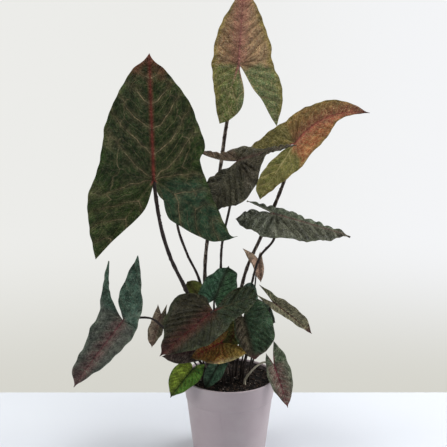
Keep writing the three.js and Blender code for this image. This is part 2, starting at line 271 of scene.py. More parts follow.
# How a leaf looks where its own table says nothing else: the width of the red flush in mm, the
# strength of veins, mottling, net, gloss and cloudy shade, the swell and ripple of the face in mm,
# the side veins' spacing as a share of the length and how much they arch forward, how much the
# lobes' ribs and the front veins show, and where the margin's colour begins.
usualLook = dict(
    flush=4, veins=0.5, mottle=0.2, gloss=0.3, quilt=1.2, ripple=0.8, spacing=0.15, arch=0.8, net=0.15,
    lobeRib=0.4, frontVeins=1, marginReach=0.82, cloudy=1,
)

# Each leaf, as seen from above looking to the tip. The junction is where petiole, midrib and lobes
# meet; heading and rise aim the midrib, roll turns the face about it. fold lifts the left and right
# halves, droop bends the tip. Margin points are (ahead of the junction, from the midrib), tip first.
# A look adds its own values to the usual ones.
leaves = [
    dict(
        name="tall_front_left", junction=(-90, -52, 373), heading=108, rise=85, roll=15, length=148,
        fold=(9, 12), droop=0.08,
        left=dict(
            outer=[(137, 14), (105, 37), (68, 54), (47, 58), (11, 67), (-13, 77), (-33, 80), (-73, 76)],
            tip=(-92, 73), inner=[(-70, 51), (-48, 25), (-33, 11), (-13, 3)]),
        right=dict(
            outer=[(129, 17), (94, 44), (62, 56), (39, 63), (21, 57), (1, 62), (-28, 73), (-65, 89)],
            tip=(-69, 99), inner=[(-74, 67), (-52, 25), (-40, 14), (-13, 9)]),
        petiole=dict(foot=(-17, -8),
            bends=[(-83, -46, 316), (-72, -38, 274), (-54, -27, 230), (-41, -20, 192)], width=5.2),
        # The bluish green of the right lobe is a painted sheen.
        look=dict(left=(38, 50, 26), right=(38, 50, 22), leftLobe=(44, 58, 26), rightLobe=(42, 66, 46),
            margin=(44, 62, 26), tip=(96, 56, 42), rib=(104, 50, 42), vein=(136, 120, 92),
            under=(105, 112, 82), mottled=(26, 36, 16), flush=3, veins=0.85, mottle=0.3, gloss=0.5,
            quilt=1.6, lobeQuilt=3.4, ripple=1.8, spacing=0.2, arch=1.4, net=0.1, lobeRib=0.12),
    ),
    dict(
        name="tall_top", junction=(11, 18, 505), heading=66, rise=81, roll=-24, length=94,
        fold=(10, 14), droop=0.08,
        left=dict(outer=[(71, 13), (52, 23), (30, 30), (-5, 33), (-30, 29), (-57, 24)], tip=(-74, 19),
            inner=[(-68, 6), (-53, -7), (-33, -9), (-11, -3)]),
        right=dict(outer=[(73, 17), (53, 27), (23, 39), (3, 42), (-15, 52), (-40, 58)], tip=(-73, 53),
            inner=[(-61, 44), (-42, 32), (-29, 20), (-9, 7)]),
        petiole=dict(foot=(-28, 3),
            bends=[(-4, 27, 429), (-11, 28, 379), (-22, 24, 319), (-31, 16, 256)], width=5),
        # Its pale mottled colour paints sheen along the folds, and the grey-green of its right lobe is a
        # painted sheen.
        look=dict(left=(124, 86, 58), right=(140, 106, 78), leftLobe=(72, 98, 32),
            rightLobe=(76, 106, 58), margin=(116, 106, 42), tip=(124, 72, 52), rib=(150, 98, 88),
            vein=(170, 150, 110), under=(150, 135, 100), mottled=(178, 160, 118), flush=12, veins=0.6,
            mottle=0.75, gloss=0.9, quilt=2, lobeQuilt=2.4, ripple=1.8, spacing=0.17, arch=1,
            lobeRib=0.5, frontVeins=0.4, marginReach=0.68, cloudy=0.7),
    ),
    dict(
        name="tall_right_pink", junction=(83, 30, 406), heading=-14, rise=26, roll=-64, length=99,
        fold=(10, 10), droop=0.1, bow=15,
        left=dict(outer=[(84, 11), (62, 20), (34, 24), (-1, 31), (-35, 26), (-62, 19)], tip=(-80, 10),
            inner=[(-57, 3), (-27, 3)]),
        right=dict(outer=[(84, 3), (60, 11), (38, 28), (7, 34), (-23, 43)], tip=(-66, 52),
            inner=[(-65, 32), (-45, 14), (-22, 4)]),
        petiole=dict(foot=(-4, 13), bends=[(68, 33, 352), (41, 28, 286), (21, 22, 240)], width=4.8),
        look=dict(left=(120, 84, 46), right=(150, 76, 50), leftLobe=(84, 84, 34),
            rightLobe=(92, 100, 42), margin=(112, 100, 44), tip=(62, 34, 32), rib=(142, 78, 66),
            vein=(192, 178, 124), under=(155, 130, 98), mottled=(162, 142, 84), flush=12, veins=0.6,
            mottle=0.7, gloss=0.8, quilt=2, ripple=1.8, net=0.25, lobeRib=0.6, frontVeins=0.25,
            marginReach=0.84, cloudy=0.7),
    ),
    dict(
        name="tall_middle_dark", junction=(10, -22, 392), heading=2, rise=17, roll=-28, length=73,
        fold=(-32, 28), droop=0.05, lobeFold=(0, -38), turn=(36, 12), lobeDroop=(-0.75, 0.06),
        left=dict(outer=[(55, 12), (35, 20), (10, 25), (-15, 24)], tip=(-45, 16),
            inner=[(-30, 9), (-14, 4)]),
        right=dict(outer=[(58, 8), (34, 17), (22, 22), (12, 35), (-9, 49), (-34, 50)], tip=(-55, 41),
            inner=[(-51, 22), (-34, 11), (-15, 7)]),
        petiole=dict(foot=(-8, 3), bends=[(0, -10, 331), (-9, -6, 287), (-11, 2, 249)], width=3.4),
        look=dict(left=(54, 52, 36), right=(49, 43, 34), leftLobe=(85, 65, 52), rightLobe=(56, 56, 43),
            margin=(60, 58, 42), tip=(60, 58, 38), rib=(70, 50, 42), vein=(92, 88, 70),
            under=(75, 60, 50), mottled=(112, 106, 84), mottle=0.6, gloss=0.9, quilt=5, ripple=2.6,
            net=0.25),
    ),
    dict(
        name="tall_right_level", junction=(57, 0, 321), heading=-4, rise=-15, roll=-14, length=98,
        fold=(-10, -12), droop=0.02,
        left=dict(outer=[(84, 7), (60, 10), (40, 15), (20, 24), (2, 28)], tip=(-38, 32),
            inner=[(-25, 15), (-10, 4)]),
        right=dict(outer=[(80, 15), (50, 33), (18, 43), (-9, 45), (-31, 38)], tip=(-46, 28),
            inner=[(-34, 11), (-14, 3)]),
        petiole=dict(foot=(9, 5), bends=[(56, 4, 288), (39, 6, 265), (29, 7, 231)], width=3.4),
        look=dict(left=(52, 65, 46), right=(61, 61, 50), leftLobe=(52, 63, 48), rightLobe=(52, 57, 46),
            margin=(72, 76, 60), tip=(74, 66, 54), rib=(80, 56, 48), vein=(116, 120, 100),
            under=(88, 78, 65), mottled=(112, 114, 94), flush=3, veins=0.65, mottle=0.6, gloss=0.8,
            quilt=4, ripple=2.4, arch=0.6, net=0.25),
    ),
    dict(
        name="tall_rear_left", junction=(-64, 12, 352), heading=128, rise=38, roll=6, length=104,
        fold=(12, 12), droop=0.2,
        both=dict(outer=[(84, 15), (50, 30), (15, 35), (-25, 36)], tip=(-58, 30),
            inner=[(-44, 14), (-20, 4)]),
        petiole=dict(foot=(-19, 0), bends=[(-66, 8, 307), (-54, 5, 269), (-38, 1, 234)], width=3.6),
        look=dict(left=(42, 54, 30), right=(42, 52, 30), leftLobe=(46, 58, 32), rightLobe=(46, 58, 36),
            margin=(60, 72, 40), tip=(88, 58, 46), rib=(104, 64, 54), vein=(116, 110, 84),
            under=(98, 100, 72), veins=0.6, gloss=0.5, quilt=2, spacing=0.18, arch=1.2),
    ),
    dict(
        name="hanging_left", junction=(-132, -38, 194), heading=-161, rise=-49, roll=47, length=103,
        fold=(14, 12), droop=0.08,
        left=dict(outer=[(83, 9), (57, 19), (25, 26), (-9, 22), (-36, 2), (-60, -22)], tip=(-74, -38),
            inner=[(-46, -32), (-18, -22), (-6, -7)]),
        right=dict(outer=[(86, 14), (57, 20), (26, 27), (-3, 38), (-29, 56)], tip=(-46, 63),
            inner=[(-19, 38), (-6, 16)]),
        petiole=dict(foot=(-26, -9), bends=[(-99, -34, 196), (-83, -28, 182), (-56, -20, 156)],
            width=3),
        look=dict(left=(76, 76, 70), right=(68, 70, 64), leftLobe=(58, 84, 72), rightLobe=(56, 82, 68),
            margin=(78, 90, 78), tip=(88, 64, 64), rib=(90, 58, 58), vein=(110, 118, 102),
            under=(105, 108, 92), mottled=(44, 58, 48), flush=10, veins=0.55, mottle=0.5, gloss=0.75,
            quilt=2.2, lobeQuilt=3, ripple=1.8, net=0.2),
    ),
    dict(
        name="low_heart", junction=(-20, -48, 210), heading=-165, rise=-36, roll=48, length=86,
        fold=(14, 8), droop=0.08,
        left=dict(outer=[(57, 20), (33, 32), (12, 34), (-12, 29), (-38, 29)], tip=(-54, 21),
            inner=[(-54, 6), (-33, -5)]),
        right=dict(outer=[(70, 14), (58, 27), (38, 41), (20, 43)], tip=(4, 32),
            inner=[(-3, 20), (-1, 9)]),
        petiole=dict(foot=(-7, -19), bends=[(-16, -26, 186), (-10, -20, 140)], width=3.6),
        look=dict(left=(40, 46, 30), right=(44, 42, 30), leftLobe=(36, 52, 34), rightLobe=(40, 50, 30),
            margin=(54, 62, 40), tip=(58, 34, 34), rib=(78, 34, 32), vein=(82, 78, 54),
            under=(88, 75, 60), mottled=(64, 58, 44), flush=10, mottle=0.4, gloss=0.85, quilt=2.6,
            lobeQuilt=4, ripple=1, spacing=0.14, arch=1, net=0.12),
    ),
    dict(
        name="low_teal", junction=(-19, -26, 217), heading=43, rise=58, roll=-45, length=47,
        fold=(10, 12), droop=0.1,
        left=dict(outer=[(34, 13), (16, 22), (-2, 21)], tip=(-12, 17), inner=[(-8, 7)]),
        right=dict(outer=[(41, 13), (26, 20), (6, 24)], tip=(-12, 20), inner=[(-8, 8)]),
        petiole=dict(foot=(-14, -16), bends=[(-18, -20, 170)], width=3),
        look=dict(left=(63, 99, 74), right=(55, 87, 57), leftLobe=(68, 101, 80), rightLobe=(57, 91, 63),
            margin=(54, 76, 56), tip=(38, 58, 36), rib=(56, 66, 50), vein=(76, 100, 78),
            under=(95, 112, 88), gloss=0.85, quilt=3.4, spacing=0.18, arch=1),
    ),
    dict(
        name="low_rust", junction=(-11, -38, 165), heading=-162, rise=-19, roll=31, length=42,
        fold=(8, 5), droop=0.08,
        left=dict(outer=[(34, 10), (18, 27), (-4, 32)], tip=(-21, 31), inner=[(-17, 16), (-8, 6)]),
        right=dict(outer=[(30, 8), (16, 13), (0, 15)], tip=(-16, 12), inner=[(-9, 4)]),
        petiole=dict(foot=(2, -21), bends=[(-2, -28, 136)], width=2.6),
        look=dict(left=(118, 50, 26), right=(100, 36, 28), leftLobe=(112, 78, 34),
            rightLobe=(110, 48, 32), margin=(160, 154, 118), tip=(110, 92, 50), rib=(140, 40, 44),
            vein=(178, 160, 86), under=(110, 84, 62), mottled=(156, 136, 70), flush=6, veins=0.9,
            mottle=0.6, gloss=0.5, quilt=3, spacing=0.13, arch=0.6, net=0.45, frontVeins=0.9,
            marginReach=0.78),
    ),
    dict(
        name="low_round", junction=(17, -34, 197), heading=-45, rise=-69, roll=-33, length=54,
        fold=(12, 10), droop=0.08,
        left=dict(outer=[(52, 12), (38, 29), (22, 34), (0, 33)], tip=(-18, 23), inner=[(-11, 7)]),
        right=dict(outer=[(45, 8), (29, 15), (10, 15)], tip=(-16, 9), inner=[(-8, 3)]),
        petiole=dict(foot=(14, -13), bends=[(22, -20, 150)], width=3),
        look=dict(left=(50, 76, 52), right=(88, 78, 62), leftLobe=(48, 74, 50), rightLobe=(78, 78, 58),
            margin=(60, 84, 54), tip=(90, 54, 54), rib=(62, 56, 42), vein=(96, 98, 74),
            under=(115, 122, 95), mottled=(44, 40, 30), flush=3, mottle=0.3, gloss=0.75, quilt=3,
            spacing=0.16, arch=0.9, net=0.2),
    ),
    dict(
        name="rim_green", junction=(-46, -40, 131), heading=-165, rise=-48, roll=45, length=46,
        fold=(12, 10), droop=0.08,
        left=dict(outer=[(34, 7), (16, 15), (1, 18)], tip=(-15, 9), inner=[(-9, 2)]),
        right=dict(outer=[(35, 11), (22, 19), (10, 20)], tip=(-3, 15), inner=[(-4, 6)]),
        petiole=dict(foot=(-25, -20), bends=[(-36, -30, 122)], width=2.4),
        look=dict(left=(90, 144, 56), right=(146, 170, 61), leftLobe=(67, 117, 50),
            rightLobe=(105, 149, 56), margin=(62, 96, 42), tip=(58, 64, 36), rib=(38, 52, 24),
            vein=(140, 150, 66), under=(96, 104, 64), mottled=(34, 56, 24), veins=0.7, mottle=0.55,
            gloss=0.6, quilt=2.4, spacing=0.16, arch=0.9, net=0.3),
    ),
    dict(
        name="rim_right", junction=(56, -30, 133), heading=-32, rise=-67, roll=-39, length=58,
        fold=(12, 12), droop=0.08,
        left=dict(outer=[(42, 11), (19, 18), (-8, 17)], tip=(-28, 10), inner=[(-14, 4)]),
        right=dict(outer=[(45, 6), (25, 13), (4, 13)], tip=(-17, 5), inner=[(-8, 2)]),
        petiole=dict(foot=(20, -21), bends=[(42, -25, 134)], width=2.6),
        look=dict(left=(80, 92, 68), right=(72, 84, 62), leftLobe=(64, 88, 54), rightLobe=(72, 86, 66),
            margin=(106, 114, 92), tip=(92, 66, 64), rib=(116, 60, 68), vein=(150, 150, 132),
            under=(108, 98, 84), mottled=(136, 142, 122), flush=12, veins=0.8, mottle=0.5, gloss=0.5,
            quilt=1.8, spacing=0.14, arch=1, net=0.45),
    ),
    dict(
        name="right_striped", junction=(56, -2, 206), heading=-13, rise=-34, roll=-31, length=63,
        fold=(10, 10), droop=0.08,
        left=dict(outer=[(48, 11), (23, 14), (1, 11)], tip=(-28, 10), inner=[(-10, 4)]),
        right=dict(outer=[(50, 5), (27, 8), (4, 11)], tip=(-24, 6), inner=[(-10, 3)]),
        petiole=dict(foot=(25, -6), bends=[(42, -10, 166)], width=2.6),
        look=dict(left=(70, 70, 54), right=(66, 66, 50), leftLobe=(72, 84, 58), rightLobe=(84, 82, 60),
            margin=(118, 112, 86), tip=(92, 52, 54), rib=(80, 60, 48), vein=(156, 150, 118),
            under=(108, 98, 76), mottled=(150, 144, 118), flush=2, veins=1, mottle=0.8, gloss=0.5,
            quilt=1.6, spacing=0.1, arch=2.4, net=0.3),
    ),
    dict(
        name="right_bronze", junction=(37, 18, 258), heading=-55, rise=-76, roll=-16, length=30,
        fold=(12, 12), droop=0.08,
        left=dict(outer=[(22, 4), (8, 6)], tip=(-9, 4), inner=[(-5, 1.5)]),
        right=dict(outer=[(22, 5), (8, 9)], tip=(-17, 20), inner=[(-8, 6)]),
        petiole=dict(foot=(15, 14), bends=[(30, 22, 190)], width=2),
        look=dict(left=(224, 190, 163), right=(224, 186, 161), leftLobe=(190, 170, 140),
            rightLobe=(207, 178, 150), margin=(150, 130, 108), tip=(150, 118, 98), rib=(124, 94, 80),
            vein=(170, 146, 124), under=(140, 122, 104), quilt=1.5),
    ),
    dict(
        name="left_small", junction=(-87, -10, 193), heading=-172, rise=-72, roll=52, length=46,
        fold=(12, 12), droop=0.08,
        left=dict(outer=[(34, 6), (19, 11), (3, 10)], tip=(-15, 4), inner=[(-7, 2)]),
        right=dict(outer=[(37, 8), (26, 11), (10, 10)], tip=(-10, 8), inner=[(-4, 3)]),
        petiole=dict(foot=(-33, -13), bends=[(-70, -10, 166)], width=2.2),
        look=dict(left=(74, 72, 52), right=(142, 126, 108), leftLobe=(70, 68, 48),
            rightLobe=(130, 116, 98), margin=(120, 114, 92), tip=(138, 116, 102), rib=(96, 74, 64),
            vein=(160, 146, 126), under=(118, 106, 90), mottled=(60, 56, 44), veins=0.7, mottle=0.4,
            quilt=1.6, net=0.3),
    ),
    dict(
        name="low_rear_right", junction=(33, 6, 191), heading=-4, rise=-25, roll=-40, length=30,
        fold=(8, 8), droop=0.08,
        left=dict(outer=[(17, 16), (-1, 20)], tip=(-14, 12), inner=[(-7, 4)]),
        right=dict(outer=[(22, 9), (8, 13)], tip=(-8, 10), inner=[(-5, 3)]),
        petiole=dict(foot=(18, -4), bends=[(26, 4, 150)], width=2.4),
        look=dict(left=(42, 62, 44), right=(44, 60, 44), leftLobe=(40, 56, 40), rightLobe=(40, 56, 40),
            margin=(104, 112, 94), tip=(58, 66, 50), rib=(62, 64, 52), vein=(76, 90, 70),
            under=(112, 118, 98), veins=0.4, gloss=0.6, quilt=2),
    ),
    dict(
        name="rim_dark", junction=(-12, -36, 139), heading=-152, rise=-55, roll=46, length=37,
        fold=(12, 12), droop=0.08,
        left=dict(outer=[(28, 8), (13, 12)], tip=(-5, 10), inner=[(-3, 4)]),
        right=dict(outer=[(27, 9), (12, 11)], tip=(-5, 8), inner=[(-3, 3)]),
        petiole=dict(foot=(-8, -31), bends=[(-9, -33, 120)], width=2),
        look=dict(left=(82, 116, 90), right=(82, 109, 86), leftLobe=(82, 116, 94),
            rightLobe=(82, 116, 94), margin=(90, 104, 88), tip=(48, 58, 46), rib=(50, 56, 46),
            vein=(70, 88, 70), under=(86, 94, 78), flush=2, gloss=0.7, quilt=2.4, marginReach=0.88),
    ),
    dict(
        name="low_mottled", junction=(11, -18, 186), heading=-146, rise=-64, roll=42, length=36,
        fold=(10, 10), droop=0.08,
        left=dict(outer=[(29, 9), (13, 13)], tip=(-7, 9), inner=[(-4, 3)]),
        right=dict(outer=[(29, 11), (13, 17)], tip=(-8, 14), inner=[(-4, 4)]),
        petiole=dict(foot=(4, -9), bends=[(8, -12, 150)], width=2.2),
        look=dict(left=(66, 72, 34), right=(54, 54, 30), leftLobe=(56, 62, 34), rightLobe=(50, 52, 32),
            margin=(92, 98, 56), tip=(72, 68, 40), rib=(90, 40, 38), vein=(124, 126, 70),
            under=(86, 88, 62), mottled=(116, 116, 62), veins=0.8, mottle=0.7, quilt=2, net=0.5),
    ),
    dict(
        name="low_pale_teal", junction=(22, -22, 216), heading=68, rise=49, roll=-32, length=26,
        fold=(10, 10), droop=0.08,
        both=dict(outer=[(17, 9), (3, 12)], tip=(-9, 9), inner=[(-5, 3)]),
        petiole=dict(foot=(25, -14), bends=[(30, -20, 170)], width=2.2),
        look=dict(left=(60, 84, 72), right=(56, 78, 66), leftLobe=(60, 84, 70), rightLobe=(58, 80, 70),
            margin=(84, 106, 90), tip=(60, 82, 68), rib=(68, 82, 68), vein=(96, 116, 98),
            under=(115, 132, 110), veins=0.45, gloss=0.7, quilt=2.4),
    ),
    dict(
        name="low_shaded", junction=(-30, -28, 153), heading=-153, rise=0, roll=75, length=58,
        fold=(8, 8), droop=0.08,
        left=dict(outer=[(50, 7), (39, 12), (19, 13)], tip=(-6, 10), inner=[(-3, 3)]),
        right=dict(outer=[(42, 4), (24, 7)], tip=(-5, 6), inner=[(-3, 2)]),
        petiole=dict(foot=(-20, -26), bends=[(-26, -31, 128)], width=2),
        look=dict(left=(44, 36, 32), right=(42, 34, 30), leftLobe=(44, 38, 32), rightLobe=(42, 34, 30),
            margin=(112, 104, 94), tip=(40, 32, 30), rib=(60, 36, 36), vein=(112, 100, 90),
            under=(60, 50, 44), mottled=(92, 80, 72), mottle=0.5, gloss=0.5, quilt=1.6, net=0.5,
            marginReach=0.9),
    ),
    dict(
        name="low_olive", junction=(-37, -10, 216), heading=160, rise=47, roll=55, length=26,
        fold=(8, 8), droop=0.08,
        both=dict(outer=[(18, 10), (3, 14)], tip=(-7, 12), inner=[(-4, 4)]),
        petiole=dict(foot=(-33, 0), bends=[(-36, -6, 170)], width=2.2),
        look=dict(left=(116, 126, 55), right=(107, 116, 55), leftLobe=(97, 110, 48),
            rightLobe=(97, 110, 48), margin=(84, 88, 44), tip=(78, 72, 32), rib=(70, 62, 32),
            vein=(96, 98, 52), under=(108, 108, 72), mottle=0.4, gloss=0.6, quilt=2),
    ),
]
for leaf in leaves:
    leaf["look"] = usualLook | leaf["look"]
    leaf["look"].setdefault("lobeQuilt", leaf["look"]["quilt"])
    leaf["look"].setdefault("mottled", leaf["look"]["vein"])

# The leaf's flat plan: u is the distance ahead of the junction along the midrib, v the distance
# from the midrib, both in mm. The spine is the midrib and, behind the junction, the lobe's vein.
# The side veins leave the midrib and the lobe's vein at angles in degrees, or at a share of the
# lobe's own angle where that is less.
bladeForm = dict(
    thickness=0.55, marginThickness=0.4, midribRounding=2, sideSag=0.04, usualLobeDroop=0.06,
    usualTurn=(6, -6), rowsPerLength=0.75, smallLeaf=60, smallLeafRows=1.4, columns=26, columnPower=1.3,
    ribHeight=1.5, ribWidth=1.1, marginWave=0.8, marginWavelength=17,
    frontVeinAngle=56, frontVeinShare=0.45, rearVeinAngle=50, rearVeinShare=0.4, fanVeinAngle=24,
    veinWaver=0.14, fineVeinWaver=0.05,
)


def unitAxes(leaf):  # along the midrib, to its left, and out of the face, rolled about the midrib
    heading, rise, roll = np.radians([leaf["heading"], leaf["rise"], leaf["roll"]])
    flat = np.array([math.cos(heading), math.sin(heading), 0])
    along = flat * math.cos(rise) + np.array([0, 0, math.sin(rise)])
    upper = np.array([0, 0, math.cos(rise)]) - flat * math.sin(rise)
    upper = upper * math.cos(roll) + np.cross(upper, along) * math.sin(roll)
    return along, np.cross(upper, along), upper


# Height of the folded blade: lift times the sine of the fold, less a sag with the square of v and
# a droop with the square of u. The bow moves the middle of the midrib to the left.
def placeOnBlade(leaf, u, v, extra=0.0):
    form, length = bladeForm, leaf["length"]
    isLeft = v > 0
    frontFold = np.where(isLeft, *leaf["fold"])
    rearFold = np.where(isLeft, *leaf.get("lobeFold", leaf["fold"]))
    start, end = leaf.get("turn", form["usualTurn"])
    fold = np.radians(rearFold + (frontFold - rearFold) * smooth(u, end, start))
    lift = np.hypot(v, form["midribRounding"]) - form["midribRounding"]
    share = np.clip(u / length, 0, 1)
    sideways = v * np.cos(fold) + 4 * leaf.get("bow", 0) * share * (1 - share)
    usual = form["usualLobeDroop"]
    bend = np.where(u > 0, leaf["droop"], np.where(isLeft, *leaf.get("lobeDroop", (usual, usual))))
    sag = form["sideSag"] * v**2 / (0.4 * length)
    height = lift * np.sin(fold) - sag - bend * u**2 / length + extra
    parts = zip((u, sideways, height), unitAxes(leaf))
    return np.array(leaf["junction"]) + sum(amount[..., None] * axis for amount, axis in parts)


def lobePlace(u, v, tip):  # the lobe's angle from the midrib, and the place along and beside its vein
    lobeAngle = math.atan2(tip[1], tip[0])
    along = u * math.cos(lobeAngle) + np.abs(v) * math.sin(lobeAngle)
    beside = u * math.sin(lobeAngle) - np.abs(v) * math.cos(lobeAngle)
    return lobeAngle, along, beside


# Side veins: each one leaves the spine at an angle and curves forward. The phase of a point is the
# number, counted along the spine, of the vein through it. Between the midrib's veins and the
# lobe's veins a few spread like a fan from the junction.
def veinPhase(leaf, u, v, tip, seed):
    look, length = leaf["look"], leaf["length"]
    form, spacing, curve = bladeForm, length * look["spacing"], look["arch"] / length
    side = np.abs(v)
    lobeAngle, along, beside = lobePlace(u, v, tip)
    frontAngle = min(math.radians(form["frontVeinAngle"]), form["frontVeinShare"] * lobeAngle)
    rearAngle = min(math.radians(form["rearVeinAngle"]), form["rearVeinShare"] * lobeAngle)
    front = u - side / math.tan(frontAngle) - curve * side**2
    rear = along - np.abs(beside) / math.tan(rearAngle) - curve * beside**2
    between = lobeAngle - frontAngle - rearAngle
    fanVeins = max(1, round(between / math.radians(form["fanVeinAngle"])))
    inFan = -fanVeins * np.clip(front / np.minimum(front + rear, -1e-6), 0, 1)
    onLobe = -fanVeins - rear / spacing
    phase = np.where(front >= 0, front / spacing, np.where(rear >= 0, onLobe, inFan))
    phase = np.where((beside < 0) & (u < 0), onLobe, phase)
    waver = form["veinWaver"] * waves(u, v, seed, 0.35 * length)
    waver = waver + form["fineVeinWaver"] * waves(u, v, seed + 3, 0.1 * length)
    return phase + waver * smooth(side, 0, 0.06 * length)


def veinRun(u, v, tip):  # distance from the spine
    _, along, beside = lobePlace(u, v, tip)
    return np.minimum(np.hypot(np.minimum(u, 0), v), np.hypot(np.minimum(along, 0), beside))


# The outer margin from tip to lobe, its length, and the share of it ahead of the junction
def outerMargin(leaf, side):
    outline = leaf.get(side) or leaf["both"]
    outer = [(leaf["length"], 0), *outline["outer"], outline["tip"]]
    steps = np.arange(0, 0.705, 0.01)
    ahead = evenSpline(outer, steps)[0][:, 0]
    shoulder = float(steps[np.argmax(ahead <= 0)]) if (ahead <= 0).any() else 0.7
    return outer, evenSpline(outer, [0, 1])[1], shoulder


# One half of the flat blade as rows of points from the spine's side to the margin. Front rows
# start on the midrib, where both halves have the same rows, and rear rows on the lobe's inner
# margin. The margin is gently waved, and the plan narrows towards the blade's tip.
def halfPlan(leaf, side, seed):
    form, length = bladeForm, leaf["length"]
    outline = leaf.get(side) or leaf["both"]
    inner = [(0, 0), *reversed(outline["inner"]), outline["tip"]]
    outer, marginLength, shoulder = outerMargin(leaf, side)
    perLength = form["rowsPerLength"] * (1 if length > form["smallLeaf"] else form["smallLeafRows"])
    margins = [outerMargin(leaf, half) for half in ("left", "right")]
    ahead = max(marginSize * share for _, marginSize, share in margins)
    frontRows = max(18, int(ahead * perLength))
    lobeRows = max(14, int(marginLength * (1 - shoulder) * perLength))
    front = np.linspace(0, 1, frontRows + 1)
    rear = np.linspace(0, 1, lobeRows + 1)[1:]
    marginShare = np.concatenate([front * shoulder, shoulder + rear * (1 - shoulder)])
    margin = evenSpline(outer, marginShare)[0]
    midrib = np.stack([length * (1 - front), 0 * front], axis=-1)
    inside = np.vstack([midrib, evenSpline(inner, rear)[0]])
    across = np.linspace(0, 1, form["columns"] + 1) ** form["columnPower"]
    plan = inside[:, None] + (margin - inside)[:, None] * across[None, :, None]
    width = np.maximum(np.linalg.norm(margin - inside, axis=1), 1e-6)
    ends = smooth(marginShare, 0, 0.08) * (1 - smooth(marginShare, 0.92, 1))
    wave = waves(marginShare * marginLength, 0 * marginShare, seed, form["marginWavelength"])
    wave = wave * form["marginWave"] * ends
    plan[..., 1] *= 0.4 + 0.6 * smooth(length - plan[..., 0], 0.01 * length, 0.12 * length)
    outward = (margin - inside) / width[:, None]
    plan = plan + (outward * wave[:, None])[:, None] * across[None, :, None] ** 3
    sign = 1 if side == "left" else -1
    edge = np.broadcast_to(across, plan.shape[:2])
    margined = np.broadcast_to((marginShare * marginLength)[:, None], plan.shape[:2])
    return plan[..., 0], plan[..., 1] * sign, edge, margined, outline["tip"]


# Relief of the face: it swells between the side veins (quilt), rolls towards the margin, and has
# broad waves. Heights are those of a leaf of full length or more, and less on a smaller leaf.
reliefForm = dict(
    fullLength=90, quiltStart=9, marginFlatness=0.7, rollHeight=1.5, rollLength=(26, 8),
    broadHeight=0.8, broadStart=(2, 25), broadShare=0.45,
)


def bladeRelief(leaf, u, v, phase, run, edge, margined, seed):
    form, look, length = reliefForm, leaf["look"], leaf["length"]
    size = min(1, length / form["fullLength"])
    lobeShare = smooth(-u, -0.05 * length, 0.25 * length)
    depth = look["quilt"] + (look["lobeQuilt"] - look["quilt"]) * lobeShare
    between = np.sqrt(0.52 - 0.5 * np.cos(2 * math.pi * phase))
    quilt = depth * size * between * smooth(run, 0.5, form["quiltStart"] * size)
    quilt = quilt * (1 - form["marginFlatness"] * smooth(edge, 0.75, 1))
    growing, least = form["rollLength"]
    roll = waves(margined, 0 * margined, seed + 5, growing * size + least)
    roll = look["ripple"] * form["rollHeight"] * size * edge**3 * roll
    broad = waves(u, v, seed + 9, form["broadShare"] * length)
    broad = form["broadHeight"] * size * smooth(run, *form["broadStart"]) * broad
    return quilt + roll + broad


def halfSurface(leaf, side, seed):  # points, their place on the leaf, their veins, and faces
    u, v, edge, margined, tip = halfPlan(leaf, side, seed)
    phase = veinPhase(leaf, u, v, tip, seed)
    step = 0.3
    slopeU = (veinPhase(leaf, u + step, v, tip, seed) - phase) / step
    slopeV = (veinPhase(leaf, u, v + step, tip, seed) - phase) / step
    scale = np.clip(1 / np.maximum(np.hypot(slopeU, slopeV), 1e-3), 0.5, 40)
    run = veinRun(u, v, tip)
    extra = bladeRelief(leaf, u, v, phase, run, edge, margined, seed)
    points = placeOnBlade(leaf, u, v, extra)
    place = np.stack([u, v, edge], axis=-1)
    vein = np.stack([phase, run, scale], axis=-1)
    faces = gridFaces(*u.shape)
    if side == "right":
        faces = faces[:, ::-1]
    return points.reshape(-1, 3), place.reshape(-1, 3), vein.reshape(-1, 3), faces


# The blade: both halves welded along the midrib, then a face and an underside on either side of
# that sheet, joined by a thin wall round the margin. The ribs stand out below.
def bladeMesh(leaf, name, seed):
    left, right = (halfSurface(leaf, side, seed) for side in ("left", "right"))
    points, place, vein = (np.vstack([left[k], right[k]]) for k in range(3))
    faces = np.vstack([left[3], right[3] + len(left[0])])
    key = np.round(points, 4)
    _, first, where = np.unique(key, axis=0, return_index=True, return_inverse=True)
    points, place, vein = points[first], place[first], vein[first]
    triangles = triangulate(where.ravel()[faces])
    normals = pointNormals(points, triangles)
    form, length = bladeForm, leaf["length"]
    size = min(1, length / 100)
    u, edge = place[:, 0], place[:, 2]
    half = (form["thickness"] + (form["marginThickness"] - form["thickness"]) * edge) / 2
    lobeTaper = 0.7 * (1 - smooth(-u, 0, 0.8 * length))
    taper = np.where(u > 0, 1 - 0.8 * smooth(u, 0, length), lobeTaper)
    rib = form["ribHeight"] * size * taper * np.exp(-(vein[:, 1] / (form["ribWidth"] * size)) ** 2)
    top = points + normals * half[:, None]
    bottom = points - normals * (half + rib)[:, None]
    count = len(points)
    arrows = np.vstack([triangles[:, [0, 1]], triangles[:, [1, 2]], triangles[:, [2, 0]]])
    forward = arrows[:, 0] * count + arrows[:, 1]
    back = arrows[:, 1] * count + arrows[:, 0]
    a, b = arrows[~np.isin(forward, back)].T
    upperWall = np.stack([a, count + a, count + b], axis=-1)
    lowerWall = np.stack([a, count + b, b], axis=-1)
    solid = np.vstack([triangles, triangles[:, ::-1] + count, upperWall, lowerWall])
    mesh = meshFrom(name, np.vstack([top, bottom]), solid)
    addAttribute(mesh, "leafPlace", np.vstack([place, place]))
    addAttribute(mesh, "leafVein", np.vstack([vein, vein]))
    addAttribute(mesh, "underside", np.repeat([0.0, 1.0], count))
    return mesh


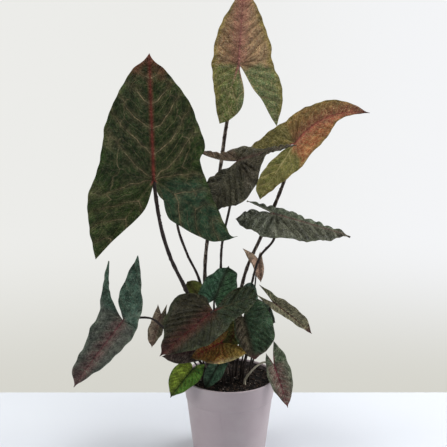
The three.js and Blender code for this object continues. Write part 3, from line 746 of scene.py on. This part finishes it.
# Masks of the veins, from the place (u, v, share of the way to the margin) and the vein (phase,
# distance from the spine, mm a phase): the rib on the spine, the side veins where the phase is a
# whole number, finer ones half way between, a scalloped one near the margin, and a net of cells.
def makeVeinGroup():
    inputs = {"Place": "Vector", "Vein": "Vector"}
    inputs |= {name: "Float" for name in ("Length", "Rib Width", "Vein Width")}
    outputs = {name: "Float" for name in ("Rib", "Side Veins", "Net", "Halo", "Relief")}
    tree, given, result = newGroup("leafVeins", inputs, outputs)
    u, _, edge = split(tree, given["Place"])
    phase, run, scale = split(tree, given["Vein"])
    ahead = over(tree, u, given["Length"])
    ribTaper = minus(tree, ramp(tree, ahead, -0.8, 0.0, 0.2, 1.0), ramp(tree, ahead, 0.0, 1.0, 0.0, 0.7))
    ribShare = over(tree, run, times(tree, given["Rib Width"], ribTaper))
    rib = ramp(tree, ribShare, 0.5, 1.15, 1.0, 0.0)
    offset = minus(tree, calc(tree, "FRACT", plus(tree, phase, 0.5)), 0.5)
    gap = times(tree, magnitude(tree, offset), scale)
    sideWidth = times(tree, given["Vein Width"], ramp(tree, edge, 0.1, 1.0, 1.0, 0.35))
    side = ramp(tree, over(tree, gap, sideWidth), 0.35, 1.2, 1.0, 0.0)
    wander = noise(tree, given["Place"], 0.06, 2.0)
    loopAt = plus(tree, times(tree, minus(tree, wander, 0.5), 0.25), 0.7)
    scallop = times(tree, offset, offset, 0.4)
    loop = magnitude(tree, plus(tree, minus(tree, edge, loopAt), scallop))
    loop = times(tree, ramp(tree, loop, 0.006, 0.02, 0.6, 0.0), ramp(tree, run, 6.0, 14.0))
    middleGap = minus(tree, times(tree, scale, 0.5), gap)
    middle = ramp(tree, over(tree, middleGap, sideWidth), 0.2, 0.8, 0.45, 0.0)
    middle = times(tree, middle, ramp(tree, run, 6.0, 16.0))
    uneven = ramp(tree, noise(tree, given["Place"], 0.07, 2.0), 0.35, 0.62, 0.3, 1.0)
    lines = calc(tree, "MAXIMUM", calc(tree, "MAXIMUM", side, middle), loop)
    lines = times(tree, lines, ramp(tree, edge, 0.8, 1.0, 1.0, 0.2), uneven)
    halo = ramp(tree, over(tree, gap, given["Length"]), 0.0, 0.045, 1.0, 0.0)
    cells = triple(tree, times(tree, phase, 4.0), times(tree, run, 0.2))
    wobble = addNode(tree, "ShaderNodeTexNoise", {"Vector": given["Place"], "Scale": 0.12}).outputs[1]
    shifted = addNode(tree, "ShaderNodeVectorMath", {0: cells, 1: wobble}, operation="ADD").outputs[0]
    cellEdges = {"Vector": shifted, "Scale": 1.0}
    net = addNode(tree, "ShaderNodeTexVoronoi", cellEdges, feature="DISTANCE_TO_EDGE").outputs["Distance"]
    net = ramp(tree, net, 0.02, 0.14, 1.0, 0.0)
    silk = triple(tree, times(tree, phase, 5.0), times(tree, run, 0.05))
    heights = [
        (calc(tree, "MAXIMUM", rib, lines), -0.6), (net, -0.35),
        (noise(tree, given["Place"], 0.3, 2.0), 2.2), (noise(tree, silk, 1.0, 3.0, 0.6), 2.6),
        (noise(tree, given["Place"], 1.6, 3.0), 0.3),
    ]
    relief = 0.0
    for height, amount in heights:
        relief = plus(tree, relief, times(tree, height, amount))
    plug(tree, result, {"Rib": rib, "Side Veins": lines, "Net": net, "Halo": halo, "Relief": relief})
    return tree


# Which value of a look each socket of the skin takes
lookAmounts = {
    "Flush": "flush", "Vein Amount": "veins", "Mottle": "mottle", "Net Amount": "net", "Gloss": "gloss",
    "Lobe Rib": "lobeRib", "Front Veins": "frontVeins", "Margin Reach": "marginReach", "Cloudy": "cloudy",
}
lookColours = {
    "Left": "left", "Right": "right", "Left Lobe": "leftLobe", "Right Lobe": "rightLobe", "Tip": "tip",
    "Margin": "margin", "Rib": "rib", "Vein": "vein", "Mottled": "mottled", "Under": "under",
}


# The leaf's colours, laid over each other in this order: one for each side and lobe, streaks along
# the veins (mottling, and painted sheen where the mottled colour is pale), a flush beside the midrib,
# the margin, the veins, the ribs, the tip, the underside and a cloudy shade.
def makeSkinGroup():
    amounts = ["Length", "Rib Mask", "Side Mask", "Net Mask", "Halo Mask", "Underside", *lookAmounts]
    inputs = {"Place": "Vector", "Vein Place": "Vector"}
    inputs |= {name + " Colour": "Color" for name in lookColours}
    inputs |= {name: "Float" for name in amounts}
    tree, given, result = newGroup("leafSkin", inputs, {"Colour": "Color", "Roughness": "Float"})
    u, v, edge = split(tree, given["Place"])
    phase, run, _ = split(tree, given["Vein Place"])
    ahead = over(tree, u, given["Length"])
    patches = times(tree, minus(tree, noise(tree, given["Place"], 0.05, 3.0), 0.5), 0.5)
    shifted = plus(tree, ahead, patches)
    isLeft = ramp(tree, v, -4.0, 4.0)
    front = blendColour(tree, isLeft, given["Right Colour"], given["Left Colour"])
    lobes = blendColour(tree, isLeft, given["Right Lobe Colour"], given["Left Lobe Colour"])
    colour = blendColour(tree, ramp(tree, shifted, -0.12, 0.05, 1.0, 0.0), front, lobes)
    # On leaves whose mottled colour is pale, the streaks and thin fold lines are painted sheen; elsewhere
    # they are mottling.
    streaks = triple(tree, times(tree, phase, 3.0), times(tree, run, 0.06), v)
    streakAndSheen = ramp(tree, noise(tree, streaks, 1.0, 4.0, 0.7), 0.45, 0.68)
    silk = magnitude(tree, minus(tree, noise(tree, streaks, 1.7, 2.0, 0.5), 0.5))
    streakAndSheen = calc(tree, "MAXIMUM", streakAndSheen, ramp(tree, silk, 0.0, 0.035, 1.0, 0.0))
    colour = blendColour(tree, times(tree, streakAndSheen, given["Mottle"]), colour, given["Mottled Colour"])
    flush = ramp(tree, over(tree, magnitude(tree, v), given["Flush"]), 0.0, 1.6, 0.75, 0.0)
    flush = times(tree, flush, ramp(tree, ahead, -0.06, 0.03))
    colour = blendColour(tree, flush, colour, given["Rib Colour"])
    reach = given["Margin Reach"]
    toMargin = over(tree, minus(tree, plus(tree, edge, patches), reach), minus(tree, 1.0, reach))
    colour = blendColour(tree, ramp(tree, toMargin, 0.0, 1.0, 0.0, 0.75), colour, given["Margin Colour"])
    isFront = ramp(tree, ahead, -0.1, 0.05)
    veinShare = times(tree, given["Vein Amount"], blendAmount(tree, isFront, 1.0, given["Front Veins"]))
    masks = [
        times(tree, given["Halo Mask"], veinShare, 0.18),
        times(tree, given["Side Mask"], veinShare, ramp(tree, edge, 0.3, 1.0, 1.0, 0.45)),
        times(tree, given["Net Mask"], given["Net Amount"]),
    ]
    for mask in masks:
        colour = blendColour(tree, mask, colour, given["Vein Colour"])
    onMidrib = ramp(tree, magnitude(tree, v), 2.0, 6.0, 1.0, 0.0)
    ribColour = blendColour(tree, onMidrib, given["Vein Colour"], given["Rib Colour"])
    ribShare = times(tree, given["Rib Mask"], blendAmount(tree, onMidrib, given["Lobe Rib"], 0.95))
    colour = blendColour(tree, ribShare, colour, ribColour)
    colour = blendColour(tree, ramp(tree, shifted, 0.74, 1.02, 0.0, 0.9), colour, given["Tip Colour"])
    colour = blendColour(tree, times(tree, given["Underside"], 0.75), colour, given["Under Colour"])
    cloud = ramp(tree, noise(tree, given["Place"], 0.11, 4.0, 0.6), 0.3, 0.7, 0.55, 1.4)
    speckle = ramp(tree, noise(tree, given["Place"], 0.5, 3.0, 0.6), 0.3, 0.7, 0.72, 1.28)
    shade = times(tree, cloud, speckle)
    colour = blendColour(tree, given["Cloudy"], colour, triple(tree, shade, shade, shade), "MULTIPLY")
    rough = ramp(tree, noise(tree, given["Place"], 0.5, 3.0), 0.3, 0.7, 0.38, 0.5)
    rough = minus(tree, rough, times(tree, given["Gloss"], 0.16))
    rough = plus(tree, rough, times(tree, given["Side Mask"], 0.1))
    plug(tree, result, {"Colour": colour, "Roughness": rough})
    return tree


skinForm = dict(fullLength=148, ribWidth=1.8, veinWidth=0.8, reliefDepth=1.3, dull=0.03, glossy=0.22)


def leafMaterial(leaf, veinGroup, skinGroup):
    look, length = leaf["look"], leaf["length"]
    material, tree, shader = newMaterial(leaf["name"] + "Skin")
    place, vein = attribute(tree, "leafPlace"), attribute(tree, "leafVein")
    size = (length / skinForm["fullLength"]) ** 0.5
    inputs = {"Place": place, "Vein": vein, "Length": length}
    inputs |= {"Rib Width": skinForm["ribWidth"] * size, "Vein Width": skinForm["veinWidth"] * size}
    veins = addNode(tree, "ShaderNodeGroup", node_tree=veinGroup)
    plug(tree, veins, inputs)
    masks = veins.outputs
    inputs = {"Place": place, "Vein Place": vein, "Length": length}
    inputs |= {"Underside": attribute(tree, "underside", "Fac"), "Rib Mask": masks["Rib"]}
    inputs |= {"Side Mask": masks["Side Veins"], "Net Mask": masks["Net"], "Halo Mask": masks["Halo"]}
    inputs |= {socket: look[key] for socket, key in lookAmounts.items()}
    inputs |= {socket + " Colour": screenColour(*look[key]) for socket, key in lookColours.items()}
    skin = addNode(tree, "ShaderNodeGroup", node_tree=skinGroup)
    plug(tree, skin, inputs)
    inputs = {"Base Color": skin.outputs["Colour"], "Roughness": skin.outputs["Roughness"]}
    inputs |= {"Normal": bump(tree, 1.0, skinForm["reliefDepth"] * mm, masks["Relief"])}
    inputs |= {"Specular IOR Level": skinForm["dull"] + skinForm["glossy"] * look["gloss"] ** 2}
    plug(tree, shader, inputs)
    return material


# Petiole: a round tube along the path from the soil to the blade, thinner upwards, with seeded
# prickles. Past the junction it runs on under the midrib and sinks into the blade.
petioleForm = dict(
    sides=18, thinSides=12, thinRadius=1.4, ringSpacing=0.9, footFlare=0.25, flareHeight=14, topShrink=0.12,
    prickleHeight=0.8, prickleEvery=5.5, prickleLength=0.8, prickleWidth=0.7, knots=0.1, knotSpacing=15,
    sink=4, sprout=6,
)
soilForm = dict(
    edgeHeight=101, crown=3, seat=0.3, rings=90, sides=200, sunk=0.4,
    lumps=[(71, 16, 0.9), (72, 5, 0.6), (73, 2.2, 0.35)],  # seed, wavelength and height
)
potForm = dict(
    height=108, rimRadius=60, baseRadius=47, wall=1.8, floor=2.4, footRound=1.5, lip=2.6, rimRound=0.8,
    bandHeight=28, bandStep=0.7, stepBelow=1.6, stepHeight=2, innerDarkTop=(105, 106.2), middle=20, sides=160,
)


def outerRadiusAt(height):
    wider = potForm["rimRadius"] - potForm["baseRadius"]
    return potForm["baseRadius"] + wider * height / potForm["height"]


def soilRadiusAt(height):
    return outerRadiusAt(height) - potForm["wall"] - soilForm["seat"]


soilRadius = soilRadiusAt(soilForm["edgeHeight"])


def soilHeightAt(x, y):
    share = np.minimum(1, np.hypot(x, y) / soilRadius)
    return soilForm["edgeHeight"] + soilForm["crown"] * (1 - share**2)


# The path's points, from below the soil to under the midrib, and the length that lies past the
# junction. The drops are how far below the midrib its last two points lie.
def petioleRoute(leaf):
    form, stalk = petioleForm, leaf["petiole"]
    radius = stalk["width"] / 2
    upper = unitAxes(leaf)[2]
    junction = np.array(leaf["junction"], float)
    foot = np.array([*stalk["foot"], float(soilHeightAt(*stalk["foot"]))])
    route = [np.array(bend, float) for bend in reversed(stalk["bends"])]
    arrival = junction - route[-1]
    arrival = arrival / np.linalg.norm(arrival)
    slant = math.sqrt(1 - float(arrival @ upper) ** 2)
    steepest = -min(*leaf["fold"], *leaf.get("lobeFold", ()), 0)
    hang = radius * math.sin(math.radians(steepest))
    top = junction - upper * (0.4 + radius * 0.85 * slant + hang)
    reach = min(26, 0.2 * leaf["length"])
    drops = ((reach * 0.35, 0.55 * radius), (reach, 0.2))
    under = [placeOnBlade(leaf, np.array(u), np.array(0.0)) - upper * drop for u, drop in drops]
    start = [foot - (0, 0, form["sink"]), foot + (0, 0, form["sprout"])]
    hidden = np.linalg.norm(under[1] - under[0]) + np.linalg.norm(under[0] - top)
    return [*start, *route, top, *under], hidden


def petioleMesh(leaf, name, seed):
    form, radius = petioleForm, leaf["petiole"]["width"] / 2
    points, hidden = petioleRoute(leaf)
    path, run = centripetalRoute(points, form["ringSpacing"])
    tangent = np.gradient(path, axis=0)
    tangent /= np.linalg.norm(tangent, axis=1, keepdims=True)
    sideways = np.cross(tangent, (0, 1, 0))
    sideways /= np.linalg.norm(sideways, axis=1, keepdims=True)
    outward = np.cross(tangent, sideways)
    sides = form["sides"] if radius > form["thinRadius"] else form["thinSides"]
    turn = np.arange(sides) / sides * 2 * math.pi
    total = run[-1]
    beyond = total - hidden
    size = 1 + form["footFlare"] * np.exp(-run / form["flareHeight"]) - form["topShrink"] * run / total
    size = size * (1 - 0.8 * smooth(run, beyond - 2, total))
    draw = np.random.default_rng(seed)
    count = int(total / form["prickleEvery"])
    where, facing = draw.uniform(8, beyond - 4, count), draw.uniform(0, 2 * math.pi, count)
    height = draw.uniform(0.3, 1, count) * form["prickleHeight"] * min(1, radius / 2)
    far = (run[:, None, None] - where) / form["prickleLength"]
    apart = np.angle(np.exp(1j * (turn[None, :, None] - facing))) * radius / form["prickleWidth"]
    prickles = (height * np.exp(-far**2 - apart**2)).sum(axis=-1)
    knots = form["knots"] * radius * waves(run, 0 * run, seed + 3, form["knotSpacing"])[:, None]
    wide = radius * size[:, None] + prickles + knots
    ring = sideways[:, None] * np.cos(turn)[None, :, None] + outward[:, None] * np.sin(turn)[None, :, None]
    points = (path[:, None] + ring * wide[..., None]).reshape(-1, 3)
    rings = len(path)
    points = np.vstack([points, path[:1], path[-1:]])
    mesh = meshFrom(name, points, tubeFaces(rings, sides), 60)
    rough = np.concatenate([np.minimum(1, prickles / 0.3).ravel(), [0, 0]])
    addAttribute(mesh, "prickle", rough)
    return mesh


petioleLooks = {
    "dark": dict(base=(40, 33, 31), light=(88, 78, 70), prickle=(74, 62, 54), patch=0.45),
    "mottled": dict(base=(50, 41, 37), light=(146, 134, 120), prickle=(96, 84, 74), patch=0.85),
    "pale": dict(base=(188, 180, 158), light=(216, 208, 188), prickle=(160, 146, 124), patch=0.6),
}
petioleKind = {"tall_top": "mottled", "tall_right_pink": "mottled", "rim_right": "pale"}


def petioleMaterial(name, look):
    material, tree, shader = newMaterial(name)
    here = objectPlace(tree)
    stretched = addNode(tree, "ShaderNodeMapping", {0: here, 3: (1.0, 1.0, 0.4)}).outputs[0]
    patches = ramp(tree, noise(tree, stretched, 420.0, 4.0, 0.65), 0.48, 0.64)
    base, light, prickle = (screenColour(*look[key]) for key in ("base", "light", "prickle"))
    colour = blendColour(tree, times(tree, patches, look["patch"]), base, light)
    colour = blendColour(tree, times(tree, attribute(tree, "prickle", "Fac"), 0.7), colour, prickle)
    inputs = {"Base Color": colour, "Roughness": ramp(tree, patches, 0.0, 1.0, 0.5, 0.7)}
    inputs |= {"Normal": bump(tree, 0.7, 0.0004, noise(tree, here, 1500.0, 3.0)), "Specular IOR Level": 0.15}
    plug(tree, shader, inputs)
    return material


def roundCorner(x, z, radius, first, last):  # part of a circle about a centre, in degrees
    turn = np.radians(np.linspace(first, last, 7))
    return [(x + radius * math.cos(t), z + radius * math.sin(t)) for t in turn]


def turnedMesh(name, profile, sides, sharpAngle=40):  # the profile starts and ends on the axis
    profile = np.array(profile, float)
    turn = np.arange(sides) / sides * 2 * math.pi
    radius, height = profile[1:-1].T[..., None]
    flat = (radius * np.cos(turn), radius * np.sin(turn), height + 0 * turn)
    points = np.stack(flat, axis=-1).reshape(-1, 3)
    points = np.vstack([points, [0, 0, profile[0][1]], [0, 0, profile[-1][1]]])
    return meshFrom(name, points, tubeFaces(len(profile) - 2, sides), sharpAngle)


# Pot: a profile of (radius, height), with round corners at foot and rim and a step under the band
def potProfile():
    form = potForm
    height, rim, bend, foot = form["height"], form["rimRadius"], form["rimRound"], form["footRound"]
    band, step, floor = height - form["bandHeight"], form["bandStep"], form["floor"]
    outer, middle, low = outerRadiusAt, form["middle"], band - form["stepBelow"]
    side = [(outer(z) - step, z) for z in np.linspace(foot + 1, low, 24)]
    shares = [(low + form["stepHeight"] * t, 1 - t * t * (3 - 2 * t)) for t in np.linspace(0.1, 1, 8)]
    blend = [(outer(z) - step * share, z) for z, share in shares]
    upper = [(outer(z), z) for z in np.linspace(band + 1, height - bend, 8)]
    corner = roundCorner(outer(foot) - step - foot, foot, foot, -90, 0)
    crest = roundCorner(rim - bend, height - bend, bend, 10, 90)
    crest += roundCorner(rim - form["lip"] + bend, height - bend, bend, 90, 175)
    inside = [(outer(z) - form["wall"], z) for z in np.linspace(height - form["lip"] - 1, floor + 1, 12)]
    below = [(0, 0), (middle, 0), *corner]
    return [*below, *side, *blend, *upper, *crest, *inside, (middle, floor), (0, floor)]


potLook = dict(colour=(163, 150, 154), dusty=(170, 159, 162), scuff=(148, 134, 139), innerDark=(34, 28, 25))


# Inside, the wall is dark: where the distance from the axis is under the outer taper's,
# from above the floor to just below the rim
def potMaterial():
    material, tree, shader = newMaterial("mauvePlastic")
    colours = {key: screenColour(*value) for key, value in potLook.items()}
    here = objectPlace(tree)
    clouds = noise(tree, here, 18.0, 4.0, 0.6)
    colour = blendColour(tree, ramp(tree, clouds, 0.35, 0.75), colours["colour"], colours["dusty"])
    streaked = addNode(tree, "ShaderNodeMapping", {0: here, 3: (1.0, 1.0, 0.12)}).outputs[0]
    scuffs = ramp(tree, noise(tree, streaked, 160.0, 5.0, 0.7), 0.6, 0.75, 0.0, 0.35)
    colour = blendColour(tree, scuffs, colour, colours["scuff"])
    x, y, z = split(tree, here)
    across = calc(tree, "SQRT", plus(tree, calc(tree, "POWER", x, 2.0), calc(tree, "POWER", y, 2.0)))
    taper = (potForm["rimRadius"] - potForm["baseRadius"]) / potForm["height"]
    innerDarkEdge = (potForm["baseRadius"] - 0.8 * potForm["wall"]) * mm
    inward = minus(tree, across, times(tree, z, taper))
    inside = ramp(tree, inward, innerDarkEdge - 0.0004, innerDarkEdge, 1.0, 0.0)
    uneven = ramp(tree, noise(tree, here, 120.0, 4.0), 0.3, 0.6, 0.75, 1.0)
    aboveFloor = ramp(tree, z, potForm["floor"] * mm, 3 * potForm["floor"] * mm)
    start, end = (height * mm for height in potForm["innerDarkTop"])
    innerDarkening = times(tree, inside, uneven, aboveFloor, ramp(tree, z, start, end, 1.0, 0.0))
    inputs = {"Base Color": blendColour(tree, innerDarkening, colour, colours["innerDark"])}
    inputs |= {"Roughness": ramp(tree, clouds, 0.3, 0.7, 0.44, 0.56), "Specular IOR Level": 0.45}
    inputs |= {"Normal": bump(tree, 0.35, 0.0002, noise(tree, here, 2200.0, 2.0))}
    plug(tree, shader, inputs)
    return material


# Soil: rings of points over the mound, uneven by a few waves, closed by a skirt and a flat floor
def soilMesh(name):
    rings, sides = soilForm["rings"], soilForm["sides"]
    radius = np.linspace(0, 1, rings + 1)[1:] * soilRadius
    turn = np.arange(sides) / sides * 2 * math.pi
    x = radius[:, None] * np.cos(turn)
    y = radius[:, None] * np.sin(turn)
    lumps = sum(waves(x, y, seed, length, 9) * height for seed, length, height in soilForm["lumps"])
    inward = 1 - smooth(radius, 0.93 * soilRadius, soilRadius)[:, None]
    z = soilHeightAt(x, y) + lumps * inward - soilForm["sunk"]
    floor = potForm["floor"] + soilForm["seat"]
    low = soilRadiusAt(floor)
    skirt = np.stack([low * np.cos(turn), low * np.sin(turn), 0 * turn + floor], axis=-1)
    top = np.stack([x, y, z], axis=-1).reshape(-1, 3)
    points = np.vstack([top, skirt, [0, 0, z[0].mean()], [0, 0, floor]])
    return meshFrom(name, points, tubeFaces(rings + 1, sides, flip=True), 180)


# Crumbs: copies of one low round shape, each stretched, turned and placed at random on the soil
crumbForms = {
    "barkChips": dict(
        count=900, sizes=(0.9, 2.6), flatness=0.3, sunk=0.1, seed=81,
        dark=(14, 11, 9), light=(76, 60, 48), rough=0.75,
    ),
    "paleGrit": dict(
        count=150, sizes=(0.4, 1.0), flatness=0.8, sunk=0, seed=82,
        dark=(90, 80, 72), light=(190, 180, 170), rough=0.7,
    ),
}


def crumbMesh(name):
    form, rows, sides = crumbForms[name], 5, 7
    count = form["count"]
    polar = np.linspace(0, math.pi, rows + 2)[1:-1, None]
    turn = np.arange(sides) / sides * 2 * math.pi
    ball = np.stack([
        np.sin(polar) * np.cos(turn), np.sin(polar) * np.sin(turn), np.cos(polar) + 0 * turn,
    ], axis=-1).reshape(-1, 3)
    ball = np.vstack([ball, [0, 0, 1], [0, 0, -1]])
    draw = np.random.default_rng(form["seed"])
    reach = (soilRadius - 2.5) * np.sqrt(draw.uniform(0, 1, count))
    facing = draw.uniform(0, 2 * math.pi, count)
    x, y = reach * np.cos(facing), reach * np.sin(facing)
    size = draw.uniform(*form["sizes"], count)
    stretch = np.stack([size, size * draw.uniform(0.45, 0.9, count), size * form["flatness"]], axis=-1)
    yaw, tilt = draw.uniform(0, 2 * math.pi, count)[:, None], draw.normal(0, 0.35, count)[:, None]
    lumpy = 1 + draw.normal(0, 0.14, (count, len(ball), 1))
    along, aside, up = np.moveaxis(ball[None] * stretch[:, None] * lumpy, -1, 0)
    tilted = along * np.cos(tilt) + up * np.sin(tilt)
    up = up * np.cos(tilt) - along * np.sin(tilt)
    placed = (
        x[:, None] + tilted * np.cos(yaw) - aside * np.sin(yaw),
        y[:, None] + tilted * np.sin(yaw) + aside * np.cos(yaw),
        (soilHeightAt(x, y) - form["sunk"] * size)[:, None] + up,
    )
    points = np.stack(placed, axis=-1).reshape(-1, 3)
    copies = np.arange(count)[:, None, None] * len(ball)
    mesh = meshFrom(name, points, (tubeFaces(rows, sides, flip=True)[None] + copies).reshape(-1, 3), 50)
    addAttribute(mesh, "crumbTone", np.repeat(draw.uniform(0, 1, count), len(ball)))
    return mesh


def crumbMaterial(name):
    look = crumbForms[name]
    material, tree, shader = newMaterial(name)
    here = objectPlace(tree)
    grain = noise(tree, here, 900.0, 4.0, 0.65)
    share = times(tree, attribute(tree, "crumbTone", "Fac"), ramp(tree, grain, 0.3, 0.75, 0.5, 1.3))
    colour = blendColour(tree, share, screenColour(*look["dark"]), screenColour(*look["light"]))
    inputs = {"Base Color": colour, "Normal": bump(tree, 0.8, 0.0005, grain), "Specular IOR Level": 0.25}
    inputs |= {"Roughness": ramp(tree, grain, 0.2, 0.8, look["rough"], look["rough"] + 0.12)}
    plug(tree, shader, inputs)
    return material


soilLook = dict(dark=(11, 9, 7), light=(28, 22, 18))


def soilMaterial():
    material, tree, shader = newMaterial("darkSoil")
    clumps = noise(tree, objectPlace(tree), 160.0, 6.0, 0.7)
    dark, light = screenColour(*soilLook["dark"]), screenColour(*soilLook["light"])
    inputs = {"Base Color": blendColour(tree, ramp(tree, clumps, 0.35, 0.7), dark, light)}
    inputs |= {"Roughness": ramp(tree, clumps, 0.3, 0.7, 0.8, 0.95), "Specular IOR Level": 0.2}
    inputs |= {"Normal": bump(tree, 1.0, 0.002, clumps)}
    plug(tree, shader, inputs)
    return material


# Stage: a pale table whose back edge lies behind the plant, a pale wall colour and soft lights
stage = dict(
    tableWidth=3000, tableFront=-1800, tableBack=195,
    tableColour=(215, 219, 226), tableShade=(213, 217, 223),
    wallColour=(236, 236, 233), litRightWallColour=(244, 245, 247), lowWallColour=(214, 213, 205),
    wallLight=0.34, rearGloss=0.12, cameraPlace=(-7.6, -1101, 551), cameraPitch=12.4, focalPixels=900,
    photoPixels=447,
)
softboxes = [
    dict(name="rightLight", place=(1500, 250, 900), size=1100, power=29, colour=(1.0, 1.0, 1.0)),
    dict(name="leftLight", place=(-1500, -300, 1000), size=1100, power=18, colour=(1.0, 0.99, 0.97)),
    dict(name="topLight", place=(100, -300, 1800), size=900, power=16, colour=(1.0, 1.0, 1.0)),
]


def addTable():
    width, front, back = stage["tableWidth"] / 2, stage["tableFront"], stage["tableBack"]
    points = np.array([(-width, front, 0), (width, front, 0), (width, back, 0), (-width, back, 0)], float)
    mesh = meshFrom("table", points, np.array([[0, 1, 2, 3]]))
    material, tree, shader = newMaterial("paleTable")
    tone = ramp(tree, noise(tree, objectPlace(tree), 3.0, 2.0), 0.3, 0.7)
    plain, shade = screenColour(*stage["tableColour"]), screenColour(*stage["tableShade"])
    inputs = {"Base Color": blendColour(tree, tone, plain, shade), "Roughness": 0.6}
    plug(tree, shader, inputs | {"Specular IOR Level": 0.2})
    mesh.materials.append(material)
    table = bpy.data.objects.new("table", mesh)
    scene.collection.objects.link(table)


# The wall is the world's colour: whiter to the right, where painted light falls from that side, and duller
# near the table. It gives less light than the camera sees, and reflections of the room behind the camera are
# dimmer still.
def addWall():
    world = bpy.data.worlds.new("paleRoom")
    scene.world = world
    world.use_nodes = True
    tree = world.node_tree
    x, y, z = split(tree, addNode(tree, "ShaderNodeTexCoord").outputs["Generated"])
    keys = ("wallColour", "litRightWallColour", "lowWallColour")
    wall, right, low = (screenColour(*stage[key]) for key in keys)
    colour = blendColour(tree, ramp(tree, x, -0.1, 0.25), wall, right)
    colour = blendColour(tree, ramp(tree, z, -0.39, -0.22, 1.0, 0.0), colour, low)
    rays = addNode(tree, "ShaderNodeLightPath").outputs
    dim = ramp(tree, y, -0.35, 0.25, stage["rearGloss"], 1.0)
    light = times(tree, blendAmount(tree, rays["Is Glossy Ray"], 1.0, dim), stage["wallLight"])
    strength = blendAmount(tree, rays["Is Camera Ray"], light, 1.0)
    plug(tree, tree.nodes["Background"], {"Color": colour, "Strength": strength})


def addCamera():
    data = bpy.data.cameras.new("camera")
    camera = bpy.data.objects.new("camera", data)
    scene.collection.objects.link(camera)
    data.sensor_width = 36
    data.lens = data.sensor_width * stage["focalPixels"] / stage["photoPixels"]
    camera.location = [value * mm for value in stage["cameraPlace"]]
    camera.rotation_euler = (math.radians(90 - stage["cameraPitch"]), 0, 0)
    scene.camera = camera


def addSoftbox(box):  # aimed at the middle of the plant
    data = bpy.data.lights.new(box["name"], "AREA")
    data.size = box["size"] * mm
    data.energy = box["power"]
    data.color = box["colour"]
    lamp = bpy.data.objects.new(box["name"], data)
    scene.collection.objects.link(lamp)
    lamp.location = np.array(box["place"]) * mm
    aim = Vector((0, 0, 0.3)) - lamp.location
    lamp.rotation_euler = aim.to_track_quat("-Z", "Y").to_euler()


addCamera()
addTable()
addWall()
for box in softboxes:
    addSoftbox(box)
print("stage ready")

addPiece("potBody", turnedMesh("potBody", potProfile(), potForm["sides"]), potMaterial(), "pot")
addPiece("soilMound", soilMesh("soilMound"), soilMaterial(), "soil")
for name in crumbForms:
    addPiece(name, crumbMesh(name), crumbMaterial(name), "soil")
print("pot and soil ready")

veinGroup = makeVeinGroup()
skinGroup = makeSkinGroup()
stalkMaterials = {kind: petioleMaterial(kind + "Stalk", look) for kind, look in petioleLooks.items()}
for number, leaf in enumerate(leaves):
    name = leaf["name"]
    blade = bladeMesh(leaf, "blade_" + name, 100 + 20 * number)
    addPiece("blade_" + name, blade, leafMaterial(leaf, veinGroup, skinGroup), "leaf_" + name)
    stalk = petioleMesh(leaf, "stalk_" + name, 500 + number)
    stalkLook = stalkMaterials[petioleKind.get(name, "dark")]
    addPiece("stalk_" + name, stalk, stalkLook, "petiole_" + name)
    print("leaf ready:", name)
